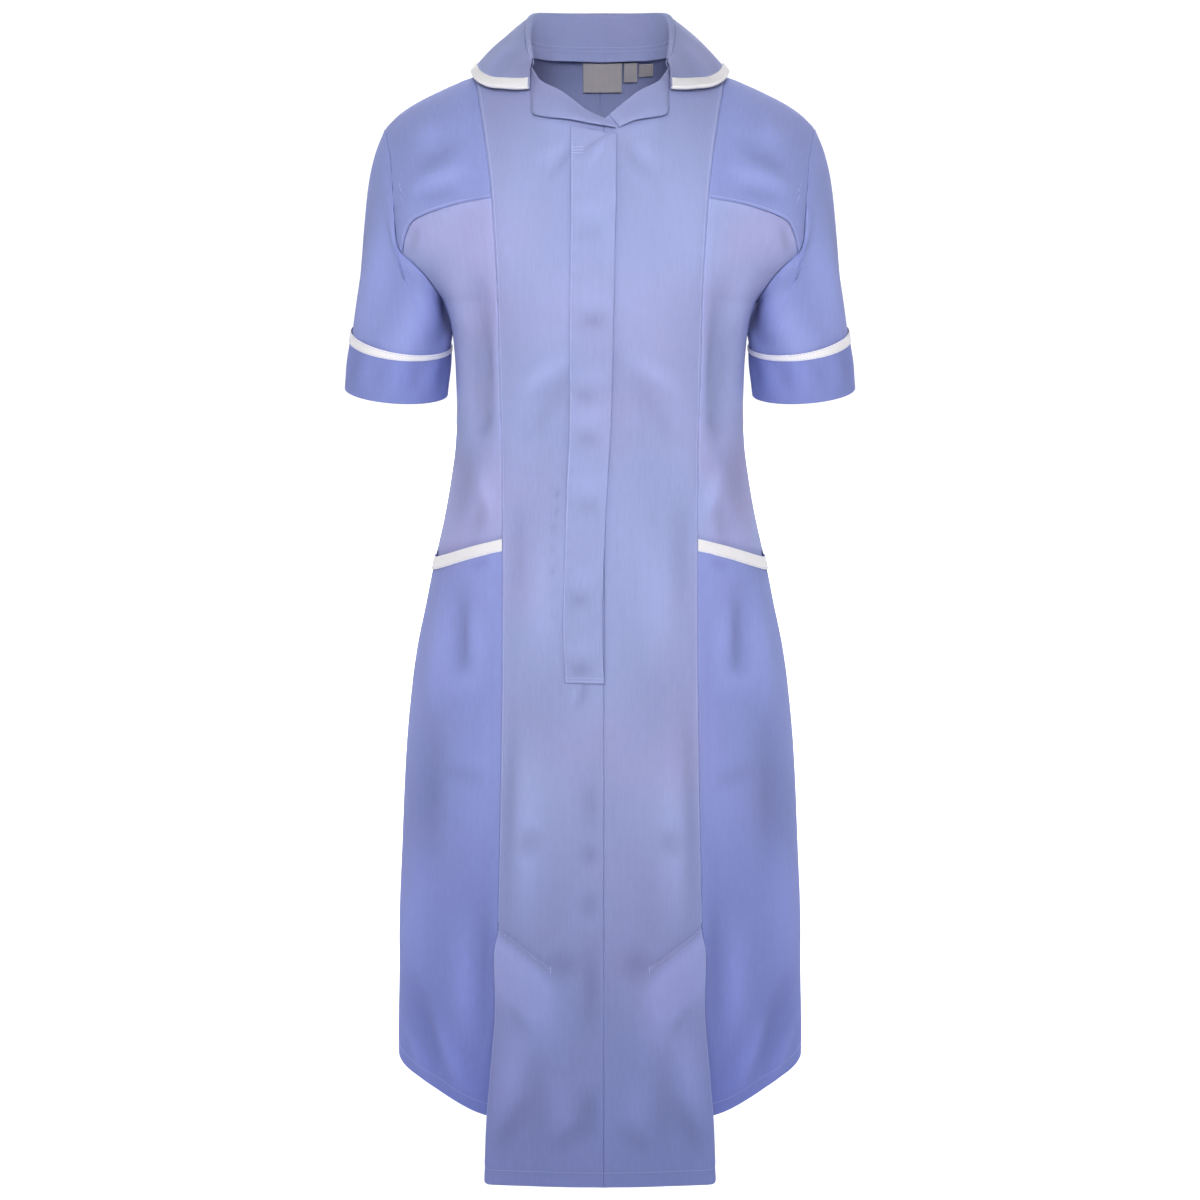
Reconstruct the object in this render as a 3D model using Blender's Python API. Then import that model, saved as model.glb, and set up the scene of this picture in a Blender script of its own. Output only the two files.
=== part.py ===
"""A nurse's short-sleeved uniform dress, worn and hollow, as the pieces that a maker cuts and sews.

Metres, +Z up. The wearer faces -Y and the wearer's left is +X. The origin is the middle of the neck
opening, level with the tops of the shoulder seams, where the wearer's shoulders hold the dress.
Every piece is a wall of cloth over one of a few surfaces: the body, a sleeve, the collar or a pleat.
"""

import bpy
import numpy as np

# ---------------------------------------------------------------- driving dimensions
CLOTH = 0.0012  # a layer of twill, as modelled
SEAM = 0.0003  # gap between one piece and the next
TAPE = 0.0009  # thickness of the white binding
LABEL = 0.0007  # thickness of a woven label
ON_TOP = CLOTH + SEAM  # how far out a second layer begins
EDGE = 0.002  # share of a piece's width left free at each seam
SIDE_EDGE = 0.0006  # the same at the side seams
FRONT_EDGE = 0.0015  # at the centre front
BACK_EDGE = 0.0004  # and at the centre back
TOP_EDGE = 0.0007  # share of a long panel's height left free at its top
PROBE = 1e-4  # step used to measure a surface's slope

HEM = -1.000  # hem of the side and back pieces
HEM_RISE = 0.017  # how far the side and back hems curve up towards the side seams
HEM_TURN_UP = (0.112, 0.185)  # that curve runs between these distances from the middle
HEM_REACH = 0.100  # and fades out over this height
FRONT_HEM = -1.040  # the centre front hangs a little lower
UNDERARM = -0.217  # foot of the armhole
SHOULDER = -0.0615  # head of the armhole, where the shoulder seam ends
CHEST = -0.150  # above this the body closes over towards the shoulders
NECK_HALF = 0.067  # half the width of the neck opening at the shoulder seams
CENTRE = 0.0035  # the fronts meet a little to the wearer's left
PLEAT_TOP = -0.809  # where the two kick pleats open
PLEAT_GATHER = 0.046  # how far in the fold behind a pleat lies
PLEAT_SLANT = 0.035  # how far its top slants down to that fold
PLEAT_BEHIND = 0.0045  # how far behind the front's edge it ends
PLEAT_INSET = 0.004  # how far inside that edge
PLEAT_UNDER = 0.001  # how far it stays clear of the side piece
PLEAT_DROP = 0.006  # how much shorter it is than the front
POCKET_TUCK = 0.0028  # how far the side front passes inside the skirt
POCKET_FOOT = -0.525  # where the pocket ends behind the skirt
TUCK_ASIDE = 0.002  # how far it keeps off the princess seam there
TUCK_FROM, TUCK_OVER = 0.010, 0.012  # the tuck begins this far above the mouth and is complete this far below
POCKET_BOW = 0.0045  # how far the mouth's line bows up in its middle
POCKET_REACH = 0.08  # height over which the side front's rows turn to the mouth's slant
POCKET_GAPE = 0.0025  # how far the pocket's mouth stands open
GAPE_FROM, GAPE_RATE = 0.65, 4  # the standing open begins at this share of the skirt side, and how fast it grows
POCKET_BAND = 0.0195  # height of the pocket's binding, as a share of the skirt side
BAND_TOP = 1.0006  # share of the skirt side at the binding's top edge
EASE = 0.006  # how softly the body passes into the shoulders
CROWN = {"front": 1.8, "back": 2.0}  # roundness of the shoulders, front and back
FACE = {"front": -1.0, "back": 1.0}  # which way each side looks along Y
ARM_STEPS = 10  # rows of cloth from underarm to shoulder, shared by all that meets the armhole
BUST_STEPS = 4  # rows of cloth from the underarm to the bust seam
BUST_RISE = 0.3525  # the bust seam meets the armhole at this share of its rows
BODY_STEPS = 14  # rows of cloth from hem to underarm
STRAIGHT = 0.5  # share of a long piece's rows that lies below the underarm
# The long panels are built in parts, one above another, so that collision can follow them. Each part
# runs between two rows of cloth, counted from the hem.
FRONT_PARTS = {"skirt": (0, 8), "bodice": (8, BODY_STEPS + ARM_STEPS)}
BACK_PARTS = {"skirt": (0, 7), "waist": (7, BODY_STEPS), "shoulder": (BODY_STEPS, BODY_STEPS + ARM_STEPS)}

# ---------------------------------------------------------------- tables
# The body's sections. front and back are the depths from the side seams to the middle of each side;
# a power of 2 is an ellipse, and a higher one is squarer.
BODY = {
    "height": (-1.000, -0.971, -0.882, -0.809, -0.753, -0.669, -0.587, -0.546, -0.506, -0.466, -0.427, -0.388,
               -0.349, -0.311, -0.281, -0.254, -0.235, -0.217, -0.205, -0.194, -0.178, -0.165, -0.150),
    "half_width": (0.2070, 0.2068, 0.2035, 0.2008, 0.1978, 0.1924, 0.1831, 0.1768, 0.1681, 0.1596, 0.1500, 0.1425,
                   0.1370, 0.1352, 0.1354, 0.1370, 0.1397, 0.1458, 0.1570, 0.1690, 0.1885, 0.2010, 0.2050),
    "front": (0.1300, 0.1315, 0.1370, 0.1400, 0.1380, 0.1330, 0.1270, 0.1235, 0.1200, 0.1160, 0.1110, 0.1050,
              0.1000, 0.1000, 0.1060, 0.1140, 0.1180, 0.1210, 0.1215, 0.1215, 0.1210, 0.1200, 0.1190),
    "back": (0.1380, 0.1380, 0.1370, 0.1360, 0.1350, 0.1340, 0.1320, 0.1290, 0.1240, 0.1170, 0.1080, 0.0970,
             0.0890, 0.0880, 0.0930, 0.0990, 0.1030, 0.1065, 0.1080, 0.1085, 0.1090, 0.1090, 0.1090),
    "front_power": (1.75, 1.77, 1.85, 1.95, 2.00, 2.10, 2.15, 2.20, 2.20, 2.20, 2.20, 2.20,
                    2.20, 2.20, 2.20, 2.20, 2.20, 2.20, 2.20, 2.20, 2.20, 2.20, 2.20),
    "back_power": (2.20, 2.20, 2.20, 2.20, 2.20, 2.20, 2.20, 2.20, 2.20, 2.20, 2.20, 2.20,
                   2.20, 2.20, 2.20, 2.20, 2.20, 2.25, 2.30, 2.30, 2.30, 2.30, 2.30),
}
# The line of the shoulder, and above the neck opening the line it would follow if it went on.
RIDGE = {
    "out": (0.000, 0.040, 0.067, 0.090, 0.114, 0.151, 0.172, 0.188, 0.197, 0.205),
    "height": (0.040, 0.024, 0.003, -0.007, -0.016, -0.031, -0.0415, -0.0525, -0.0615, -0.0720),
}
# The armhole seen from the front.
ARMHOLE = {
    "height": (-0.217, -0.213, -0.205, -0.194, -0.186, -0.1783, -0.174, -0.1633, -0.140, -0.115, -0.092, -0.078,
               -0.0615),
    "out": (0.1458, 0.1468, 0.1503, 0.1575, 0.1645, 0.1735, 0.1790, 0.1832, 0.1845, 0.1865, 0.1890, 0.1925,
            0.1970),
}
# The princess seam between the centre front and the side front; below the pleat, the folded edge.
PRINCESS = {
    "height": (-1.040, -0.990, -0.940, -0.880, -0.809, -0.730, -0.630, -0.525, -0.434, -0.348, -0.303, -0.214,
               -0.1262, -0.085, -0.036, -0.0158),
    "out": (0.1100, 0.1085, 0.1045, 0.0995, 0.0965, 0.0940, 0.0915, 0.0895, 0.0892, 0.0895, 0.0905, 0.0905,
            0.0945, 0.0995, 0.1085, 0.1135),
}
# The bust seam, from the princess seam out to the armhole.
BUST = {
    "along": (0.00, 0.26, 0.52, 0.70, 0.82, 0.91, 1.00),
    "out": (0.0945, 0.1190, 0.1430, 0.1585, 0.1680, 0.1740, 0.1796),
    "height": (-0.1262, -0.1300, -0.1360, -0.1412, -0.1465, -0.1570, -0.1740),
}
# The neck opening: the fold of the lapels in front, and the neck seam behind.
NECK_FRONT = {
    "out": (0.000, 0.0185, 0.036, 0.054, 0.061, 0.067),
    "height": (-0.0625, -0.0480, -0.0350, -0.0245, -0.0110, 0.0030),
}
NECK_BACK = {"out": (0.000, 0.030, 0.050, 0.067), "height": (0.0080, 0.0075, 0.0060, 0.0030)}
POCKET_MOUTH = {"out": (0.0892, 0.1596), "height": (-0.430, -0.467)}
# How far the centre front stands off the legs below the pleat tops.
SWING = {"height": (-1.040, -0.990, -0.940, -0.880, -0.809), "share": (1.00, 0.86, 0.58, 0.22, 0.00)}
SWING_DEPTH = 0.1650
SWING_CURVE = 0.5  # how much the hanging front still curves, per metre squared
# The sleeve's outer and inner lines, its half depth, how far it drifts back and how it dips in front.
SLEEVE = {
    "along": (0.00, 0.12, 0.25, 0.40, 0.60, 0.80, 1.00),
    "outer_x": (0.1970, 0.2055, 0.2120, 0.2185, 0.2275, 0.2350, 0.2420),
    "outer_z": (-0.0615, -0.0800, -0.1040, -0.1420, -0.1990, -0.2525, -0.3000),
    "inner_x": (0.1458, 0.1474, 0.1468, 0.1450, 0.1434, 0.1442, 0.1490),
    "inner_z": (-0.2170, -0.2220, -0.2290, -0.2375, -0.2495, -0.2610, -0.3080),
    "half_depth": (0.0560, 0.0560, 0.0550, 0.0540, 0.0525, 0.0510, 0.0500),
    "back": (0.0000, 0.0010, 0.0025, 0.0045, 0.0070, 0.0090, 0.0110),
    "dip": (0.000, 0.020, 0.050, 0.100, 0.155, 0.190, 0.130),
}
ARM_CLEAR = (1.3, 2.2)  # layers of cloth between armhole and sleeve: at the shoulder, and added below the arm
ARM_BLEND = 0.55  # share of the sleeve over which the armhole's shape fades out
CUFF_FROM = 0.80  # the turned-back cuff begins at this share of the sleeve
BINDING_ABOVE = 0.002  # share of the sleeve by which its binding passes the cuff's top
BINDING_SHARE = 0.034  # height of the cuff's binding, as a share of the sleeve
# Half of the collar, from its front end (0) round to the centre back (1): neck seam, roll and outer edge.
COLLAR = {
    "along": (0.00, 0.10, 0.22, 0.34, 0.46, 0.58, 0.70, 0.85, 1.00),
    "seam_x": (0.0612, 0.0640, 0.0668, 0.0660, 0.0600, 0.0500, 0.0370, 0.0190, 0.0000),
    "roll_x": (0.0606, 0.0628, 0.0650, 0.0660, 0.0650, 0.0610, 0.0500, 0.0260, 0.0000),
    "roll_y": (-0.0470, -0.0340, -0.0160, 0.0050, 0.0250, 0.0430, 0.0600, 0.0715, 0.0745),
    "roll_z": (-0.0065, 0.0015, 0.0130, 0.0265, 0.0370, 0.0430, 0.0455, 0.0465, 0.0470),
    "edge_x": (0.0606, 0.0795, 0.0975, 0.1080, 0.1110, 0.1040, 0.0860, 0.0445, 0.0000),
    "edge_y": (-0.0714, -0.0617, -0.0493, -0.0302, -0.0020, 0.0300, 0.0560, 0.0790, 0.0874),
}
STAND_SHARE = 0.35  # share of the collar's width that is its stand
ROLL_SHARE = 0.15  # share that rolls over
COLLAR_LIFT = 0.0055  # height of the collar's edge above the dress
STAND_CLEAR = 0.0026  # how far the stand begins above the cloth at the shoulder seams
COLLAR_FOLD = 0.0024  # radius of the roll
COLLAR_SWELL = 0.004  # how far the fall bows outwards
FRONT_END = 0.22  # share of the half collar whose seam lies on the fronts
STAND_EASE = 0.060  # distance from the shoulder seams over which that clearance fades
EDGE_AWAY = (2.5, 0.10)  # the edge is lifted along a slope: its weight along Y, and its height
COLLAR_BINDING_SHARE = 0.070  # width of the binding, as a share of the collar from seam to edge
# The lapels: the fold and the outer edge, seen from the front; x is towards the lapel's own side.
LAPEL = {
    "along": (0.00, 0.25, 0.50, 0.75, 0.90, 1.00),
    "fold_x": (-0.0060, 0.0145, 0.0310, 0.0465, 0.0545, 0.0596),
    "fold_z": (-0.0615, -0.0512, -0.0388, -0.0295, -0.0238, -0.0138),
    "edge_x": (-0.0140, 0.0060, 0.0250, 0.0450, 0.0560, 0.0596),
    "edge_z": (-0.0690, -0.0660, -0.0625, -0.0600, -0.0570, -0.0530),
}
LAPEL_UNDER = 0.12  # share of the wearer's left lapel that ends under the right one
LAPEL_SHIFT = 0.021  # how far that end is moved across, at the edge; at the fold it is this share of that
LAPEL_FOLD_SHIFT = 0.17
LAPEL_RISE = 0.0012  # how far the lapels stand above a second layer
PLACKET_RISE = 0.0005  # the same for the placket
# The placket's free edge, on the wearer's left, and its width.
PLACKET = {
    "height": (-0.558, -0.502, -0.449, -0.379, -0.325, -0.246, -0.173, -0.123, -0.065),
    "edge": (0.0040, 0.0020, 0.0035, 0.0068, 0.0098, 0.0115, 0.0130, 0.0140, 0.0145),
    "width": (0.0360, 0.0360, 0.0360, 0.0370, 0.0375, 0.0385, 0.0390, 0.0395, 0.0400),
}
PLACKET_TOP = (-0.0660, -0.0735)  # height of its two top corners, inner and free
LABEL_CLEAR = 0.0025  # how far the labels hang from the back of the neck
LABELS = {  # the blank labels at the back of the neck: left, right, top and bottom edges
    "neck_label": (-0.0165, 0.0215, 0.0045, -0.0205),
    "size_label": (0.0235, 0.0360, 0.0045, -0.0115),
    "fit_label": (0.0380, 0.0515, 0.0030, -0.0070),
}

# ---------------------------------------------------------------- curves and surfaces


def curve_through(knots, values):
    """A smooth curve through the rows of a table, which never overshoots them."""
    x, y = np.array(knots, float), np.array(values, float)
    step = np.diff(x)
    rise = np.diff(y) / step
    product = rise[:-1] * rise[1:]
    total = np.where(product > 0, rise[:-1] + rise[1:], 1.0)
    slope = np.concatenate([rise[:1], np.where(product > 0, 2 * product / total, 0.0), rise[-1:]])

    def at(q):
        q = np.clip(q, x[0], x[-1])
        i = np.clip(np.searchsorted(x, q) - 1, 0, len(step) - 1)
        t = (q - x[i]) / step[i]
        ends = y[i] * (2 * t**3 - 3 * t**2 + 1) + y[i + 1] * (3 * t**2 - 2 * t**3)
        return ends + step[i] * (slope[i] * (t**3 - 2 * t**2 + t) + slope[i + 1] * (t**3 - t**2))

    return at


def columns(table, key):
    """Every other column of a table as a curve over its key column."""
    return {name: curve_through(table[key], values) for name, values in table.items() if name != key}


body = columns(BODY, "height")
ridge = columns(RIDGE, "out")["height"]
armhole_out = columns(ARMHOLE, "height")["out"]
princess = columns(PRINCESS, "height")["out"]
bust = columns(BUST, "along")
neck_front = columns(NECK_FRONT, "out")["height"]
neck_back = columns(NECK_BACK, "out")["height"]
swing = columns(SWING, "height")["share"]
sleeve = columns(SLEEVE, "along")
collar = columns(COLLAR, "along")
lapel = columns(LAPEL, "along")
placket = columns(PLACKET, "height")


def smoothstep(t):
    t = np.clip(t, 0.0, 1.0)
    return t * t * (3 - 2 * t)


def depth(x, z, side):
    """How far the body stands from the plane of the side seams, at a point seen from the front."""
    low = CHEST - EASE * np.log1p(np.exp(np.minimum((CHEST - z) / EASE, 50)))
    low = np.where(CHEST - z > 8 * EASE, z, low)
    power = body[side + "_power"](low)
    share = np.clip(np.abs(x) / body["half_width"](low), 0, 1)
    reach = body[side](low) * (1 - share**power) ** (1 / power)
    up = np.clip((z - CHEST) / (ridge(np.abs(x)) - CHEST), 0, 1)
    return reach * (1 - up ** CROWN[side]) ** (1 / CROWN[side])


def height_at(x, y):
    """The height of the shoulders over a point of the plan."""
    top, climbs = ridge(np.abs(x)), []
    for side in ("front", "back"):
        share = np.clip(np.abs(y) / depth(x, CHEST, side), 0, 1)
        climbs.append((1 - share ** CROWN[side]) ** (1 / CROWN[side]))
    return CHEST + (top - CHEST) * np.where(y < 0, climbs[0], climbs[1])


def on_body(x, z, side):
    return np.stack(np.broadcast_arrays(x, FACE[side] * depth(x, z, side), z), axis=-1)


def across(z, turn, side):
    """The distance out from the middle at a turn from 0, the middle, to 1, the side seam."""
    return body["half_width"](z) * np.sin(turn * np.pi / 2) ** (2 / body[side + "_power"](z))


def turn_of(x, z, side):
    share = np.clip(x / body["half_width"](z), 0, 1)
    return np.arcsin(share ** (body[side + "_power"](z) / 2)) * 2 / np.pi


def arm_rise(k):
    """The share of the armhole's height reached after a share k of its rows."""
    return (1 - np.cos(np.pi * np.clip(k, 0, 1))) / 2


def height_of(v, hem, top):
    """Heights up a long piece: even up to the underarm, then spaced as the armhole's rows are."""
    low = hem + (UNDERARM - hem) * np.clip(v / STRAIGHT, 0, 1)
    return low + (top - UNDERARM) * arm_rise((v - STRAIGHT) / (1 - STRAIGHT))


def lifted(x, z):
    """The same point with the hem's curve added: the side and back hems rise towards the side seams."""
    near, far = HEM_TURN_UP
    return z + HEM_RISE * smoothstep((x - near) / (far - near)) * np.clip(1 - (z - HEM) / HEM_REACH, 0, 1)


def front_depth(x, z):
    """The centre front: on the body down to the pleats, then swinging forward and nearly flat."""
    near = depth(x, z, "front")
    return near + swing(z) * (SWING_DEPTH - SWING_CURVE * x**2 - near)


def centre_front(start):
    """u runs from the centre line, at x = start, to the princess seam, v from the hem to the top."""

    def point(u, v):
        top_x = start + (PRINCESS["out"][-1] - start) * u
        top = np.where(top_x < NECK_HALF, neck_front(np.abs(top_x)), ridge(top_x))
        z = height_of(v, FRONT_HEM, top)
        x = start + (princess(z) - start) * u
        return np.stack(np.broadcast_arrays(x, -front_depth(x, z), z), axis=-1)

    return point


def yoke(u, v):
    """The upper side front: u from the princess seam to the armhole, v from bust seam to shoulder.
    It is stretched between its four edges in x and in the share of the height to the shoulder line."""
    rise = arm_rise(BUST_RISE + (1 - BUST_RISE) * v)
    right_z = UNDERARM + (SHOULDER - UNDERARM) * rise
    low_z = BUST["height"][0]
    share = (rise - arm_rise(BUST_RISE)) / (1 - arm_rise(BUST_RISE))
    top_left = PRINCESS["out"][-1]
    left_z = low_z + (ridge(top_left) - low_z) * share

    def climb(x, z):
        return (z - CHEST) / (ridge(x) - CHEST)

    def stretched(low, high, left, right):
        def corner(value, end):
            return value(np.float64(end))

        side_left = left - ((1 - share) * corner(low, 0) + share * corner(high, 0))
        side_right = right - ((1 - share) * corner(low, 1) + share * corner(high, 1))
        return (1 - share) * low(u) + share * high(u) + (1 - u) * side_left + u * side_right

    left_x, right_x = princess(left_z), armhole_out(right_z)
    x = stretched(bust["out"], lambda s: top_left + (ARMHOLE["out"][-1] - top_left) * s, left_x, right_x)
    climbed = stretched(
        lambda s: climb(bust["out"](s), bust["height"](s)),
        lambda s: np.ones_like(s),
        climb(left_x, left_z),
        climb(right_x, right_z),
    )
    z = CHEST + climbed * (ridge(x) - CHEST)
    return on_body(x, z, "front")


def side_edge(z):
    """The side pieces' front edge: the princess seam, which runs straight down behind the pleat."""
    return np.where(z > PLEAT_TOP, princess(z), princess(PLEAT_TOP))


def side_front(u, v):
    """u from the princess seam to the side, v from the pocket's foot to the bust seam."""
    level = POCKET_FOOT + (UNDERARM - POCKET_FOOT) * np.clip(v / STRAIGHT, 0, 1)
    high = np.clip((v - STRAIGHT) / (1 - STRAIGHT), 0, 1) * BUST_RISE
    right_z = level + (SHOULDER - UNDERARM) * arm_rise(high)
    tilt = arm_rise(high) / arm_rise(BUST_RISE)
    z = level * (1 - tilt) + bust["height"](u) * tilt
    tucked = smoothstep((POCKET_MOUTH["height"][0] + TUCK_FROM - level) / TUCK_OVER)
    left = side_edge(z) + TUCK_ASIDE * tucked
    turn = turn_of(left, level, "front")
    level_share = (across(level, turn + (1 - turn) * u, "front") - left) / (body["half_width"](level) - left)
    bust_share = (bust["out"](u) - bust["out"](0)) / (bust["out"](1) - bust["out"](0))
    share = level_share * (1 - tilt) + bust_share * tilt
    right = np.where(high > 0, armhole_out(right_z), body["half_width"](level))
    x = left + (right - left) * share
    slant = smoothstep(1.5 - np.abs(level - POCKET_MOUTH["height"][0]) / POCKET_REACH)
    moved = z + (mouth_height(x) - POCKET_MOUTH["height"][0]) * slant
    x = np.where(slant > 0, x * body["half_width"](moved) / body["half_width"](z), x)
    points = on_body(x, moved, "front")
    return points * (1 - POCKET_TUCK * tucked / np.hypot(points[..., 0], points[..., 1]))[..., None] ** (1, 1, 0)


def mouth_height(x):
    """The slanting line of the pocket's mouth."""
    out, height = POCKET_MOUTH["out"], POCKET_MOUTH["height"]
    share = (x - out[0]) / (out[1] - out[0])
    return height[0] + (height[1] - height[0]) * share + POCKET_BOW * np.sin(np.pi * np.clip(share, 0, 1))


def skirt_side(u, v):
    """u from the princess seam to the side seam, v from the hem to the pocket's mouth."""
    level = HEM + (POCKET_MOUTH["height"][0] - HEM) * v
    turn = turn_of(side_edge(level), level, "front")
    x = across(level, turn + (1 - turn) * u, "front")
    z = lifted(x, level + (mouth_height(x) - POCKET_MOUTH["height"][0]) * smoothstep(v * 3 - 2))
    turn = turn_of(side_edge(z), z, "front")
    x = across(z, turn + (1 - turn) * u, "front")
    points = on_body(x, z, "front")
    stand_off = POCKET_GAPE * np.sin(np.pi * u) * smoothstep((v - GAPE_FROM) * GAPE_RATE)
    return points * (1 + stand_off / np.hypot(points[..., 0], points[..., 1]))[..., None] ** (1, 1, 0)


def pleat_underlay(u, v):
    """The folded strip behind each pleat: from the side piece in to the fold, and out to the front's edge."""
    gather = np.sin(np.pi * u)
    low = HEM + PLEAT_UNDER + (FRONT_HEM - HEM + PLEAT_DROP) * smoothstep(u * 1.4 - 0.4)
    high = PLEAT_TOP - 2 * PLEAT_UNDER - PLEAT_SLANT * gather
    z = low + (high - low) * v
    near, far = side_edge(z) - PLEAT_UNDER, princess(z) - PLEAT_INSET
    x = near + (far - near) * u - PLEAT_GATHER * gather
    behind = front_depth(far, z) - PLEAT_BEHIND
    beside = np.minimum(depth(near, z, "front"), front_depth(near, z) - ON_TOP - PLEAT_UNDER)
    return np.stack(np.broadcast_arrays(x, -(beside + (behind - beside) * smoothstep(u)), z), axis=-1)


def back(u, v):
    """u from the centre back seam to the side seam and armhole, v from the hem to neck and shoulder."""
    share = np.sin(u * np.pi / 2) ** (2 / BODY["back_power"][0])
    top_x = ARMHOLE["out"][-1] * share
    top = np.where(top_x < NECK_HALF, neck_back(top_x), ridge(top_x))
    z = height_of(v, HEM, top)
    edge_z = height_of(v, HEM, SHOULDER)
    width = np.where(v > STRAIGHT, armhole_out(edge_z), body["half_width"](edge_z))
    return on_body(width * share, lifted(width * share, z), "back")


def sleeve_tube(u, v):
    """u goes round from the shoulder through the front, v runs from the armhole to the hem."""
    angle = 2 * np.pi * u
    outer = np.stack([sleeve["outer_x"](v), 0 * v, sleeve["outer_z"](v)], axis=-1)
    inner = np.stack([sleeve["inner_x"](v), 0 * v, sleeve["inner_z"](v)], axis=-1)
    middle, reach = (outer + inner) / 2, (outer - inner) / 2
    sideways = np.stack([0 * v, 0 * v - 1, -sleeve["dip"](v)], axis=-1)
    ring = middle + reach * np.cos(angle)[..., None] + sideways * (sleeve["half_depth"](v) * np.sin(angle))[..., None]
    ring[..., 1] += sleeve["back"](v)

    start = np.float64(0.0)
    z = UNDERARM + (SHOULDER - UNDERARM) * (1 + np.cos(angle)) / 2
    x = armhole_out(z)
    y = np.where(np.sin(angle) > 0, -depth(x, z, "front"), depth(x, z, "back"))
    below = ((1 - np.cos(angle)) / 2) ** 2
    hole = np.stack([x + SEAM + CLOTH * (ARM_CLEAR[0] + ARM_CLEAR[1] * below), y, z], axis=-1)
    first_middle = np.array([(sleeve["outer_x"](start) + sleeve["inner_x"](start)) / 2, 0, (SHOULDER + UNDERARM) / 2])
    first_reach = np.array([(sleeve["outer_x"](start) - sleeve["inner_x"](start)) / 2, 0, (SHOULDER - UNDERARM) / 2])
    first = first_middle + first_reach * np.cos(angle)[..., None]
    first[..., 1] -= sleeve["half_depth"](start) * np.sin(angle)
    fade = 1 - smoothstep(v / ARM_BLEND)
    return ring + (hole - first) * fade[..., None]


def collar_sheet(u, v):
    """u goes round from the wearer's right front end (-1) to the left one (1), v from seam to outer edge.
    The stand rises to the roll, turns over and falls to the edge, which lies on the shoulders."""
    hand, along = np.sign(u + 1e-12), 1 - np.abs(u)
    # seam on the neck opening
    seam_x = collar["seam_x"](along)
    in_front = along < FRONT_END
    seam_z = np.where(in_front, neck_front(seam_x), neck_back(seam_x))
    seam_y = np.where(in_front, -depth(seam_x, seam_z, "front"), depth(seam_x, seam_z, "back"))
    seam_z = seam_z + 3 * SEAM + STAND_CLEAR * (1 - smoothstep(np.abs(seam_y) / STAND_EASE))
    seam = np.stack([seam_x, seam_y, seam_z], axis=-1)
    roll = np.stack([collar["roll_x"](along), collar["roll_y"](along), collar["roll_z"](along)], axis=-1)
    # outer edge, lying just off the dress
    edge_x, edge_y = collar["edge_x"](along), collar["edge_y"](along)
    edge = np.stack([edge_x, edge_y, height_at(edge_x, edge_y)], axis=-1)
    away = np.stack([edge_x, edge_y * EDGE_AWAY[0], EDGE_AWAY[1] + 0 * edge_x], axis=-1)
    edge = edge + away / np.linalg.norm(away, axis=-1, keepdims=True) * (COLLAR_LIFT + CLOTH)
    # the way out over the roll, level
    out = edge - roll
    out[..., 2] = 0
    out /= np.linalg.norm(out, axis=-1, keepdims=True)
    up = np.array([0.0, 0.0, 1.0])
    rolled = STAND_SHARE + ROLL_SHARE
    stand = np.clip(v / STAND_SHARE, 0, 1)[..., None]
    turn = (np.clip((v - STAND_SHARE) / ROLL_SHARE, 0, 1) * np.pi)[..., None]
    fall = np.clip((v - rolled) / (1 - rolled), 0, 1)[..., None]
    inner_roll, outer_roll = roll - out * COLLAR_FOLD, roll + out * COLLAR_FOLD
    rise = seam + (inner_roll - seam) * stand
    fold = roll - out * COLLAR_FOLD * np.cos(turn) + up * COLLAR_FOLD * np.sin(turn)
    bow = (out * 0.6 + up * 0.8) * COLLAR_SWELL * np.sin(np.pi * fall)
    drop = outer_roll + (edge - outer_roll) * fall + bow
    points = np.where(v[..., None] < STAND_SHARE, rise, np.where(v[..., None] < rolled, fold, drop))
    return points * np.stack([hand, np.ones_like(hand), np.ones_like(hand)], axis=-1)


def collar_bound(u, v):
    """The binding's path round the collar's outer edge: over the top, round, and back beneath."""
    last = 1 - COLLAR_BINDING_SHARE
    on = np.where(v < 0.5, last + (1 - last) * np.clip(v / 0.4, 0, 1), last + (1 - last) * np.clip((1 - v) / 0.4, 0, 1))
    low, high = (-1.0, last - 0.1), (1.0, 1.0)
    outward = normals(collar_sheet, u, on, low, high)
    past = collar_sheet(u, np.ones_like(on)) - collar_sheet(u, np.ones_like(on) * 0.99)
    past /= np.linalg.norm(past, axis=-1, keepdims=True)
    turn = (np.clip((v - 0.4) / 0.2, 0, 1) * np.pi)[..., None]
    half = CLOTH / 2 + 4 * SEAM
    return collar_sheet(u, on) + outward * (CLOTH / 2 + half * np.cos(turn)) + past * half * np.sin(turn)


def lapel_sheet(hand):
    """A lapel on the body: u from the bottom of the V to the collar, v from the fold to the edge."""

    def point(u, v):
        under, shift = (LAPEL_UNDER, LAPEL_SHIFT * (LAPEL_FOLD_SHIFT + (1 - LAPEL_FOLD_SHIFT) * v)) if hand > 0 else (0.0, 0.0)
        along = under + (1 - under) * u
        x = lapel["fold_x"](along) * (1 - v) + lapel["edge_x"](along) * v + shift * (1 - u) ** 2
        z = lapel["fold_z"](along) * (1 - v) + lapel["edge_z"](along) * v
        return on_body(hand * x, z, "front")

    return point


def placket_strip(u, v):
    """u from the stitched edge to the free edge, v from the foot to the top."""
    top = PLACKET_TOP[0] + (PLACKET_TOP[1] - PLACKET_TOP[0]) * u
    z = PLACKET["height"][0] + (top - PLACKET["height"][0]) * v
    return on_body(placket["edge"](z) - placket["width"](z) * (1 - u), z, "front")


def pocket_binding(u, v):
    """A band down from the pocket's mouth, over the top edge of the skirt side."""
    return skirt_side(u, BAND_TOP - POCKET_BAND * (1 - v))


def label_sheet(box):
    left, right, top, bottom = box

    def point(u, v):
        return on_body(left + (right - left) * u, bottom + (top - bottom) * v, "back")

    return point


# ---------------------------------------------------------------- making a wall of cloth


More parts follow.
